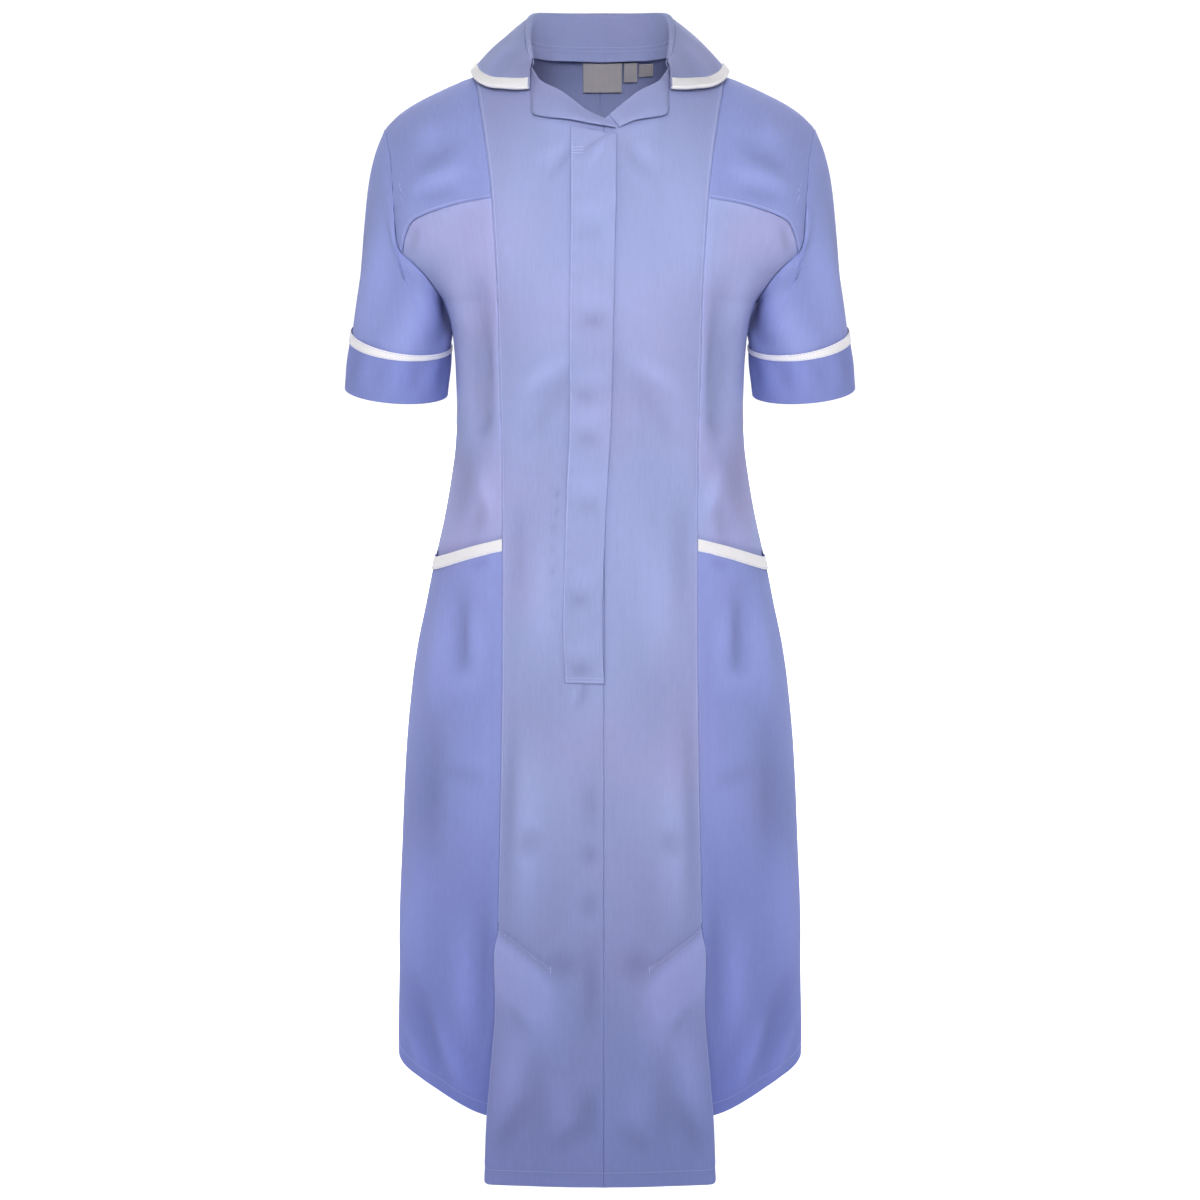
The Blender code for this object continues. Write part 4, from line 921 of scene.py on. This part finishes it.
def placket_strip(u, v):
    """u from the stitched edge to the free edge, v from the foot to the top."""
    top = PLACKET_TOP[0] + (PLACKET_TOP[1] - PLACKET_TOP[0]) * u
    z = PLACKET["height"][0] + (top - PLACKET["height"][0]) * v
    return on_body(placket["edge"](z) - placket["width"](z) * (1 - u), z, "front")


def placket_folds(points, u, v, edges):
    z = points[..., 2]
    dents = np.zeros_like(z)
    for number, (height, dent) in enumerate(zip(FASTENERS["height"], FASTENERS["dent"])):
        spot = ((u - 0.45 - 0.1 * math.sin(number * 2.0)) / 0.30) ** 2 + ((z - height) / 0.008) ** 2
        dents = dents - dent * np.exp(-spot)
        dents = dents + 0.0005 * np.exp(-(((z - height - 0.020) / 0.009) ** 2)) * np.sin(np.pi * u)
    ripple = pucker(edges[0], z, 0.00022, 0.006, 0.017) + pucker(edges[1], z + 0.1, 0.00018, 0.010, 0.043)
    return dents + ripple + creases(PLACKET_DRAG, points[..., 0], z)


def placket_lift(u, v, edges):
    """The strip lies level with the front along its stitched edge, and stands off along the free one."""
    return PLACKET_LIFT + PLACKET_SPRING * smoothstep(edges[0] / PLACKET_SETTLE)


# The placket's dents and ripples are painted 2.2 times as dark or pale as other cloth's folds: painted shade.
piece = Cloth("placket", placket_strip, spread(0.038, 0.002), spread(0.49, 0.003), twill_blue, 1,
              start=placket_lift, rolls=(EDGE_ROLL,) * 4, folds=placket_folds, fold_shade_gain=2.2)
piece.sewn("cloth", turnings=(0.008, 0.01))

# ------------------------------------------------------------------------------------------ lapels
# The tops of the front facings, turned out along a soft roll and lying on the fronts. The wearer's
# right lapel lies over the left one at the foot of the V.

LAPEL = {
    "along": (0.00, 0.25, 0.50, 0.75, 0.90, 1.00),
    "fold_x": (-0.0060, 0.0145, 0.0310, 0.0465, 0.0545, 0.0596),
    "fold_z": (-0.0615, -0.0512, -0.0388, -0.0295, -0.0238, -0.0138),
    "edge_x": (-0.0140, 0.0060, 0.0250, 0.0450, 0.0560, 0.0596),
    "edge_z": (-0.0690, -0.0660, -0.0625, -0.0600, -0.0570, -0.0530),
}
LAPEL_UNDER = 0.12  # the share of the left lapel that is hidden at the crossing
LAPEL_SHIFT = 0.021  # how far its foot is moved out from under the right one
LAPEL_FOLD_SHIFT = 0.17  # the share of that move which its fold makes
LAPEL_LIFT, LAPEL_SPRING = 0.0017, 0.0040
LAPEL_CROSSING = 0.0016
lapel = columns(LAPEL, "along")


def lapel_sheet(hand):
    """A lapel on the body: u from the bottom of the V to the collar, v from the fold to the edge."""

    def point(u, v):
        under = LAPEL_UNDER if hand > 0 else 0.0
        shift = LAPEL_SHIFT * (LAPEL_FOLD_SHIFT + (1 - LAPEL_FOLD_SHIFT) * v) if hand > 0 else 0.0
        along = under + (1 - under) * u
        x = lapel["fold_x"](along) * (1 - v) + lapel["edge_x"](along) * v + shift * (1 - u) ** 2
        z = lapel["fold_z"](along) * (1 - v) + lapel["edge_z"](along) * v
        return on_body(hand * x, z, "front")

    return point


def lapel_lift(over):
    """Low at the fold and the ends, springing off the dress between; over is the crossing's height."""

    def lift(u, v, edges):
        spring = LAPEL_SPRING * np.sin(np.pi * np.clip(u, 0, 1)) ** 0.5 * smoothstep(v * 1.1)
        return LAPEL_LIFT + spring + over * (1 - smoothstep(u / 0.45))

    return lift


for hand, sign, over in (("left", 1, 0.0), ("right", -1, LAPEL_CROSSING)):
    piece = Cloth(f"lapel_{hand}", lapel_sheet(sign), spread(0.08, 0.002), spread(0.035, 0.0018), twill_blue,
                  -sign, start=lapel_lift(over), rolls=(EDGE_ROLL,) * 4)
    piece.sewn("cloth", held="folded", turnings=(0.001, 0.001))

# ------------------------------------------------------------------------------------------ collar
# A collar cut in one with its stand: it rises from the neck seam, rolls over and falls on the shoulders.
# Its outer edge is bound with white tape.

COLLAR = {
    "along": (0.00, 0.10, 0.22, 0.34, 0.46, 0.58, 0.70, 0.85, 1.00),
    "seam_x": (0.0612, 0.0640, 0.0668, 0.0660, 0.0600, 0.0500, 0.0370, 0.0190, 0.0000),
    "roll_x": (0.0606, 0.0628, 0.0650, 0.0660, 0.0650, 0.0610, 0.0500, 0.0260, 0.0000),
    "roll_y": (-0.0470, -0.0340, -0.0160, 0.0050, 0.0250, 0.0430, 0.0600, 0.0715, 0.0745),
    "roll_z": (-0.0065, 0.0015, 0.0130, 0.0265, 0.0370, 0.0430, 0.0455, 0.0465, 0.0470),
    "edge_x": (0.0606, 0.0795, 0.0975, 0.1080, 0.1110, 0.1040, 0.0860, 0.0445, 0.0000),
    "edge_y": (-0.0714, -0.0617, -0.0493, -0.0302, -0.0020, 0.0300, 0.0560, 0.0790, 0.0874),
}
STAND_SHARE = 0.35  # the share of the collar's width that stands, and the share that rolls over
ROLL_SHARE = 0.15
COLLAR_LIFT = 0.0055  # how far its edge stands off the shoulders
STAND_CLEAR = 0.0026
COLLAR_FOLD = 0.0024
COLLAR_SWELL = 0.004
NECK_TAPE = 0.0100  # width of the tape that covers the neck seam inside
BINDING_WIDTH = 0.0082
BINDING_HALF = 0.0006  # how far the tape's path runs outside the collar's own cloth
collar = columns(COLLAR, "along")


def height_at(x, y):
    """The height of the shoulders over a point of the plan."""
    top, climbs = ridge(np.abs(x)), []
    for side in ("front", "back"):
        share = np.clip(np.abs(y) / depth(x, CHEST, side), 0, 1)
        climbs.append((1 - share ** CROWN[side]) ** (1 / CROWN[side]))
    return CHEST + (top - CHEST) * np.where(y < 0, climbs[0], climbs[1])


def collar_sheet(u, v):
    """u goes round from the wearer's right front end (-1) to the left one (1), v from seam to edge."""
    hand, along = np.sign(u + 1e-12), 1 - np.abs(u)
    seam_x = collar["seam_x"](along)
    in_front = along < 0.22
    seam_z = np.where(in_front, neck_front(seam_x), neck_back(seam_x))
    seam_y = np.where(in_front, -depth(seam_x, seam_z, "front"), depth(seam_x, seam_z, "back"))
    seam_z = seam_z + 0.0009 + STAND_CLEAR * (1 - smoothstep(np.abs(seam_y) / 0.060))
    seam = np.stack([seam_x, seam_y, seam_z], axis=-1)
    roll = np.stack([collar["roll_x"](along), collar["roll_y"](along), collar["roll_z"](along)], axis=-1)
    edge_x, edge_y = collar["edge_x"](along), collar["edge_y"](along)
    edge = np.stack([edge_x, edge_y, height_at(edge_x, edge_y)], axis=-1)
    away = np.stack([edge_x, edge_y * 2.5, 0.10 + 0 * edge_x], axis=-1)
    edge = edge + away / np.linalg.norm(away, axis=-1, keepdims=True) * (COLLAR_LIFT + CLOTH)
    out = edge - roll
    out[..., 2] = 0
    out /= np.linalg.norm(out, axis=-1, keepdims=True)
    up = np.array([0.0, 0.0, 1.0])
    rolled = STAND_SHARE + ROLL_SHARE
    stand = np.minimum(v / STAND_SHARE, 1)[..., None]
    turn = (np.clip((v - STAND_SHARE) / ROLL_SHARE, 0, 1) * np.pi)[..., None]
    fall = np.clip((v - rolled) / (1 - rolled), 0, 1)[..., None]
    inner_roll, outer_roll = roll - out * COLLAR_FOLD, roll + out * COLLAR_FOLD
    rise = seam + (inner_roll - seam) * stand
    fold = roll - out * COLLAR_FOLD * np.cos(turn) + up * COLLAR_FOLD * np.sin(turn)
    bow = (out * 0.6 + up * 0.8) * COLLAR_SWELL * np.sin(np.pi * fall)
    drop = outer_roll + (edge - outer_roll) * fall + bow
    points = np.where(v[..., None] < STAND_SHARE, rise, np.where(v[..., None] < rolled, fold, drop))
    return points * np.stack([hand, np.ones_like(hand), np.ones_like(hand)], axis=-1)


def collar_bound(u, v):
    """The tape's path round the collar's outer edge: over the top, round, and back beneath."""
    fall = np.linalg.norm(collar_sheet(u, 0 * u + 0.5) - collar_sheet(u, 0 * u + 1), axis=-1)
    last = 1 - 0.5 * BINDING_WIDTH / fall
    share = np.where(v < 0.5, np.clip(v / 0.4, 0, 1), np.clip((1 - v) / 0.4, 0, 1))
    on = last + (1 - last) * share
    points = collar_sheet(u, on)
    step = 1e-4
    along = collar_sheet(np.minimum(u + step, 1), on) - collar_sheet(np.maximum(u - step, -1), on)
    up = collar_sheet(u, on) - collar_sheet(u, on - step)
    outward = np.cross(along, up)
    outward /= np.linalg.norm(outward, axis=-1, keepdims=True)
    past = up / np.linalg.norm(up, axis=-1, keepdims=True)
    turn = (np.clip((v - 0.4) / 0.2, 0, 1) * np.pi)[..., None]
    half = CLOTH / 2 + BINDING_HALF
    return points + outward * (CLOTH / 2 + half * np.cos(turn)) + past * half * np.sin(turn)


def collar_folds(points, u, v, edges):
    """The stitched neck tape inside the stand, and the slight waves of the fall."""
    tape = 0.0007 * smoothstep((NECK_TAPE - edges[2]) / 0.0008)
    rows = -0.0003 * np.exp(-(((edges[2] - NECK_TAPE) / 0.0008) ** 2))
    fall = smoothstep((v - 0.5) / 0.2)
    waves = fall * (0.0018 * np.cos(u * 17) * np.sin(np.pi * v) + 0.0007 * np.sin(u * 41 + 1.0))
    stand = tape + rows + wavering(points[..., 0], points[..., 2], 0.0005, 5.0)
    return np.where(v < STAND_SHARE, stand, waves * 0.8)


collar_u = spread(0.36, 0.0035) * 2 - 1
collar_v = np.concatenate([np.linspace(-0.05, 0.35, 40), np.linspace(0.35, 0.5, 9)[1:],
                           np.linspace(0.5, 1, 24)[1:]])
piece = Cloth("collar", collar_sheet, collar_u, collar_v, twill_blue, 1, rolls=(EDGE_ROLL, EDGE_ROLL, 0, 0),
              folds=collar_folds)
piece.sewn("cloth", held="folded")
bound_v = np.concatenate([np.linspace(0, 0.4, 9), np.linspace(0.4, 0.6, 9)[1:], np.linspace(0.6, 1, 7)[1:]])
piece = Cloth("collar_binding", collar_bound, collar_u, bound_v, white, 1, thick=TAPE, rolls=(EDGE_ROLL,) * 4)
piece.sewn("binding", held="folded", turnings=(0.01, 0.004))

# ------------------------------------------------------------------------------------------ labels
# Three blank woven labels, sewn by their top edges to the inside of the back neck.

LABEL = 0.0007  # thickness
LABEL_AWAY = 0.0028  # how far it hangs off the back
LABEL_SAG = 0.0012
LABEL_ROLL = 0.0006
LABEL_RIB = 0.0006


def label_weave(name):
    """Grey satin ribbon with fine ribs."""
    finish = Finish(name, Roughness=0.6, Specular_IOR_Level=0.4)
    flat, cross, along = finish.threads()
    rib = finish.waves(along, LABEL_RIB)
    cloudy = finish.noise(flat, 1.0, (300.0, 60.0, 1.0), 3.0)
    colour = finish.blend(0.3 * rib + cloudy, (0.60, 0.565, 0.575, 1.0), (0.69, 0.65, 0.66, 1.0))
    finish.join(colour, finish.shader.inputs["Base Color"])
    finish.join(finish.bump(rib, 0.00008), finish.shader.inputs["Normal"])
    return finish.material


grey = label_weave("woven label")
for name in ("neck_label", "size_label", "fit_label"):
    low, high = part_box(name)

    def label_sheet(u, v):
        x = low[0] + (high[0] - low[0]) * u
        z = low[2] + (high[2] - low[2]) * v
        sag = LABEL_SAG * np.sin(np.pi * v) * np.cos(2.5 * (u - 0.4))
        return on_body(x, z, "back") - np.stack([0 * x, LABEL_AWAY + sag, 0 * x], axis=-1)

    piece = Cloth(name, label_sheet, spread(high[0] - low[0], 0.002), spread(high[2] - low[2], 0.002), grey,
                  thick=LABEL, rolls=(LABEL_ROLL,) * 4)
    piece.sewn("label", turnings=(0.0, 0.003))

# ------------------------------------------------------------------------------------------ sleeves
# Short set-in sleeves, each a tube from the armhole to a turned-back cuff with white tape on its top.

SLEEVE = {
    "along": (0.00, 0.12, 0.25, 0.40, 0.60, 0.80, 1.00),
    "outer_x": (0.1970, 0.2055, 0.2120, 0.2185, 0.2275, 0.2350, 0.2420),
    "outer_z": (-0.0615, -0.0800, -0.1040, -0.1420, -0.1990, -0.2525, -0.3000),
    "inner_x": (0.1458, 0.1474, 0.1468, 0.1450, 0.1434, 0.1442, 0.1490),
    "inner_z": (-0.2170, -0.2220, -0.2290, -0.2375, -0.2495, -0.2610, -0.3080),
    "half_depth": (0.0560, 0.0560, 0.0550, 0.0540, 0.0525, 0.0510, 0.0500),
    "back": (0.0000, 0.0010, 0.0025, 0.0045, 0.0070, 0.0090, 0.0110),
    "dip": (0.000, 0.020, 0.050, 0.100, 0.155, 0.190, 0.130),
}
CUFF_FROM = 0.80  # the share of the sleeve's length where the cuff's fold begins
CUFF_INSET = 0.016  # how much further down the cuff's own cloth starts, under the tape
TAPE_PAST = 0.002  # how much further up the tape starts
CUFF_TAPE = 0.034
TAPE_LIFT = 0.0011
CUFF_CORNER = 0.0012
CUFF_RISE = 0.030
sleeve = columns(SLEEVE, "along")


def sleeve_tube(u, v):
    """u goes round from the shoulder through the front, v runs from the armhole to the hem."""
    angle = 2 * np.pi * u
    outer = np.stack([sleeve["outer_x"](v), 0 * v, sleeve["outer_z"](v)], axis=-1)
    inner = np.stack([sleeve["inner_x"](v), 0 * v, sleeve["inner_z"](v)], axis=-1)
    middle, reach = (outer + inner) / 2, (outer - inner) / 2
    sideways = np.stack([0 * v, 0 * v - 1, -sleeve["dip"](v)], axis=-1)
    forward = (sleeve["half_depth"](v) * np.sin(angle))[..., None]
    ring = middle + reach * np.cos(angle)[..., None] + sideways * forward
    ring[..., 1] += sleeve["back"](v)

    outer_x, inner_x = SLEEVE["outer_x"][0], SLEEVE["inner_x"][0]
    z = UNDERARM + (SHOULDER - UNDERARM) * (1 + np.cos(angle)) / 2
    x = armhole_out(z)
    y = np.where(np.sin(angle) > 0, -depth(x, z, "front"), depth(x, z, "back"))
    below = ((1 - np.cos(angle)) / 2) ** 2
    hole = np.stack([x + CLOTH * (0.1 + 1.9 * below), y, z], axis=-1)
    first_middle = np.array([(outer_x + inner_x) / 2, 0, (SHOULDER + UNDERARM) / 2])
    first_reach = np.array([(outer_x - inner_x) / 2, 0, (SHOULDER - UNDERARM) / 2])
    first = first_middle + first_reach * np.cos(angle)[..., None]
    first[..., 1] -= SLEEVE["half_depth"][0] * np.sin(angle)
    fade = 1 - smoothstep(v / 0.55)
    return ring + (hole - first) * fade[..., None]


def sleeve_folds(points, u, v, edges):
    ripples = 0.0005 * np.exp(-v / 0.05) * np.sin(2 * np.pi * u * 26)
    drags = 0.0020 * np.sin(2 * np.pi * u * 5 + v * 7) * np.sin(np.pi * np.clip(v, 0, 1)) ** 2
    return ripples + drags


def cuff_folds(points, u, v, edges):
    """Shallow waves that die away under the tape and at the fold."""
    down = np.sin(np.pi * (v - CUFF_FROM) / (1 - CUFF_FROM)) ** 2
    return 0.0012 * np.sin(2 * np.pi * u * 9 + 6 * v) * down


def cuff_round(u, v):
    """The turned-back cuff on the sleeve: its top rises towards the outer side."""
    rise = CUFF_RISE * (1 + np.cos(2 * np.pi * u)) / 2 * (1 - v) / (1 - CUFF_FROM)
    return sleeve_tube(u, v - rise)


# The cuffs' copy is painted darker and a deeper blue: painted shade.
twill_shaded_cuffs = twill("blue twill, cuffs", painted_shade=0.6, warm=0.2, painted_light=0.9)
round_u = np.arange(84) / 84
for hand in ("left", "right"):
    mirrored = hand == "right"
    piece = Cloth(f"sleeve_{hand}", sleeve_tube, round_u, spread(0.23, 0.004), twill_outer, 1, mirrored,
                  rolls=(0, 0, SEAM_ROLL, EDGE_ROLL), folds=sleeve_folds, closed=True)
    piece.sewn("cloth", turnings=(0.02, 0.02))
    cuff_top = CUFF_FROM + CUFF_INSET
    cuff_v = cuff_top + (1 - cuff_top) * spread(0.046, 0.003)
    piece = Cloth(f"cuff_{hand}", cuff_round, round_u, cuff_v, twill_shaded_cuffs, 1, mirrored, start=ON_TOP,
                  rolls=(0, 0, EDGE_ROLL, CUFF_CORNER), folds=cuff_folds, closed=True)
    piece.sewn("cuff_cloth", turnings=(0.014, 0.008))
    tape_v = CUFF_FROM - TAPE_PAST + (CUFF_TAPE + TAPE_PAST) * spread(0.009, 0.0015)
    piece = Cloth(f"cuff_binding_{hand}", cuff_round, round_u, tape_v, white, 1, mirrored,
                  start=ON_TOP + TAPE_LIFT, thick=TAPE, rolls=(0, 0, EDGE_ROLL, EDGE_ROLL), closed=True)
    piece.sewn("binding", held="stretched", turnings=(0.004, 0.002))

# ------------------------------------------------------------------------------------------ stitching
# Rows of blue polyester thread: one beside each seam, along hems and bindings, and short dense bar
# tacks where a seam takes strain. Each stitch is a small capsule laid along a line on the cloth.

STITCH_PITCH = 0.0030
STITCH_LENGTH = 0.0024
THREAD_RADIUS = 0.00023
TACK_PITCH = 0.0009
TACK_LENGTH = 0.0016
SEAM_INSET = 0.0024
SIDE_HEM = 0.014


def stitch_tree():
    """Geometry nodes that lay capsules at an even pitch along every line of a mesh of edges."""
    tree = bpy.data.node_groups.new("stitching", "GeometryNodeTree")
    tree.interface.new_socket("Lines", in_out="INPUT", socket_type="NodeSocketGeometry")
    for name in ("Pitch", "Length", "Radius"):
        tree.interface.new_socket(name, in_out="INPUT", socket_type="NodeSocketFloat")
    tree.interface.new_socket("Thread", in_out="INPUT", socket_type="NodeSocketMaterial")
    tree.interface.new_socket("Stitches", in_out="OUTPUT", socket_type="NodeSocketGeometry")
    nodes, join = tree.nodes, tree.links.new
    given, made = nodes.new("NodeGroupInput").outputs, nodes.new("NodeGroupOutput")
    curve = nodes.new("GeometryNodeMeshToCurve")
    join(given["Lines"], curve.inputs["Mesh"])
    places = nodes.new("GeometryNodeCurveToPoints")
    places.mode = "LENGTH"
    join(curve.outputs["Curve"], places.inputs["Curve"])
    join(given["Pitch"], places.inputs["Length"])
    turn = nodes.new("FunctionNodeAlignRotationToVector")
    turn.axis = "Z"
    join(places.outputs["Tangent"], turn.inputs["Vector"])
    capsule = nodes.new("GeometryNodeMeshUVSphere")
    capsule.inputs["Segments"].default_value = 6
    capsule.inputs["Rings"].default_value = 4
    capsule.inputs["Radius"].default_value = 1.0
    half = nodes.new("ShaderNodeMath")
    half.operation = "MULTIPLY"
    half.inputs[1].default_value = 0.5
    join(given["Length"], half.inputs[0])
    size = nodes.new("ShaderNodeCombineXYZ")
    join(given["Radius"], size.inputs["X"])
    join(given["Radius"], size.inputs["Y"])
    join(half.outputs[0], size.inputs["Z"])
    laid = nodes.new("GeometryNodeInstanceOnPoints")
    join(places.outputs["Points"], laid.inputs["Points"])
    join(capsule.outputs["Mesh"], laid.inputs["Instance"])
    join(turn.outputs["Rotation"], laid.inputs["Rotation"])
    join(size.outputs["Vector"], laid.inputs["Scale"])
    whole = nodes.new("GeometryNodeRealizeInstances")
    join(laid.outputs["Instances"], whole.inputs["Geometry"])
    dyed = nodes.new("GeometryNodeSetMaterial")
    join(whole.outputs["Geometry"], dyed.inputs["Geometry"])
    join(given["Thread"], dyed.inputs["Material"])
    join(dyed.outputs["Geometry"], made.inputs["Stitches"])
    return tree


def stitched(name, tree, paths, pitch, length, thread):
    """One plain mesh of all the stitches along a list of paths."""
    points, edges, count = [], [], 0
    for path in paths:
        points += path.tolist()
        edges += [(count + k, count + k + 1) for k in range(len(path) - 1)]
        count += len(path)
    lines = bpy.data.meshes.new(name + "_lines")
    lines.from_pydata(points, edges, [])
    holder = bpy.data.objects.new(name + "_lines", lines)
    bpy.context.scene.collection.objects.link(holder)
    sewing = holder.modifiers.new("sewing", "NODES")
    sewing.node_group = tree
    sizes = {"Pitch": pitch, "Length": length, "Radius": THREAD_RADIUS, "Thread": thread}
    for item in tree.interface.items_tree:
        if item.name in sizes:
            sewing[item.identifier] = sizes[item.name]
    grown = holder.evaluated_get(bpy.context.evaluated_depsgraph_get())
    mesh = bpy.data.meshes.new_from_object(grown)
    bpy.data.objects.remove(holder)
    mesh.name = name
    mesh.polygons.foreach_set("use_smooth", [True] * len(mesh.polygons))
    made = bpy.data.objects.new(name, mesh)
    bpy.context.scene.collection.objects.link(made)
    return made


def on_face(piece, places):
    """Points on a piece's face over places given as (x, z), seen from the front."""
    skin = piece.skin.reshape(-1, 3)
    found = []
    for x, z in places:
        away = (skin[:, 0] - x) ** 2 + (skin[:, 2] - z) ** 2
        near = np.argsort(away)[:5]
        weight = 1 / (away[near] + 1e-9)
        found.append((x, float((skin[near, 1] * weight).sum() / weight.sum()), z))
    return np.array(found)


def straight(start, end, count=12):
    return [tuple(np.array(start) + (np.array(end) - start) * k / (count - 1)) for k in range(count)]


thread_finish = Finish("blue thread", Roughness=0.5, Sheen_Weight=0.2)
thread_place = thread_finish.node("ShaderNodeTexCoord", {}, {}, "Object")
thread_tone = thread_finish.noise(thread_place, 260.0)
thread_finish.join(thread_finish.blend(thread_tone, (0.50, 0.54, 0.84, 1.0), (0.64, 0.68, 0.92, 1.0)),
                   thread_finish.shader.inputs["Base Color"])
SEWN_ROWS = {
    "piece": ("front", "front", "skirt_side", "back", "back", "yoke", "cuff_binding", "cuff_binding",
              "pocket_binding"),
    "edge": (1, 2, 2, 2, 0, 2, 3, 2, 2),
    "inset": (SEAM_INSET, HEM_TURN, SIDE_HEM, SIDE_HEM, SEAM_INSET, SEAM_INSET, 0.0012, 0.0012, 0.0013),
}
MIDDLE_ROWS = {
    "piece": ("collar", "collar", "collar", "placket", "placket", "placket"),
    "edge": (2, 2, 3, 0, 2, 2),
    "inset": (0.0105, 0.0150, 0.0095, 0.0016, 0.0020, 0.0050),
}
SLANT_ENDS = (0.0960, 0.0465)  # how far out the slanting seam starts and stops
SLANT_TWIN = 0.0016  # between its two rows
BAR_TACKS = {
    "piece": ("front", "front", "front", "front", "yoke", "yoke"),
    "x0": (0.0965, 0.0925, 0.0465, 0.0885, 0.1810, 0.1795),
    "z0": (SLANT_TOP + 0.003, SLANT_TOP + 0.003, SLANT_TOP - 0.032, -0.520, -0.112, -0.122),
    "x1": (0.0925, 0.0960, 0.0465, 0.0845, 0.1780, 0.1765),
    "z1": (SLANT_TOP - 0.003, SLANT_TOP - 0.003, SLANT_TOP - 0.038, -0.520, -0.119, -0.128),
}
rows, tacks = [], []
for hand, sign in (("left", 1), ("right", -1)):
    for name, edge, inset in zip(*SEWN_ROWS.values()):
        rows.append(cloths[f"{name}_{hand}"].line(edge, inset))
    for drop in (0.0, SLANT_TWIN):
        slant = straight((sign * SLANT_ENDS[0], SLANT_TOP - drop),
                         (sign * SLANT_ENDS[1], SLANT_TOP - SLANT_DROP - drop), 24)
        rows.append(on_face(cloths[f"front_{hand}"], slant))
    for name, x0, z0, x1, z1 in zip(*BAR_TACKS.values()):
        tacks.append(on_face(cloths[f"{name}_{hand}"], straight((sign * x0, z0), (sign * x1, z1))))
for name, edge, inset in zip(*MIDDLE_ROWS.values()):
    rows.append(cloths[name].line(edge, inset))
for height in (-0.0835, -0.0860, -0.0885):
    tacks.append(on_face(cloths["placket"], straight((-0.0240, height), (-0.0150, height))))
tree = stitch_tree()
for name, paths, pitch, length in (("stitch_rows", rows, STITCH_PITCH, STITCH_LENGTH),
                                   ("bar_tacks", tacks, TACK_PITCH, TACK_LENGTH)):
    piece = stitched(name, tree, paths, pitch, length, thread_finish.material)
    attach(piece, "root")
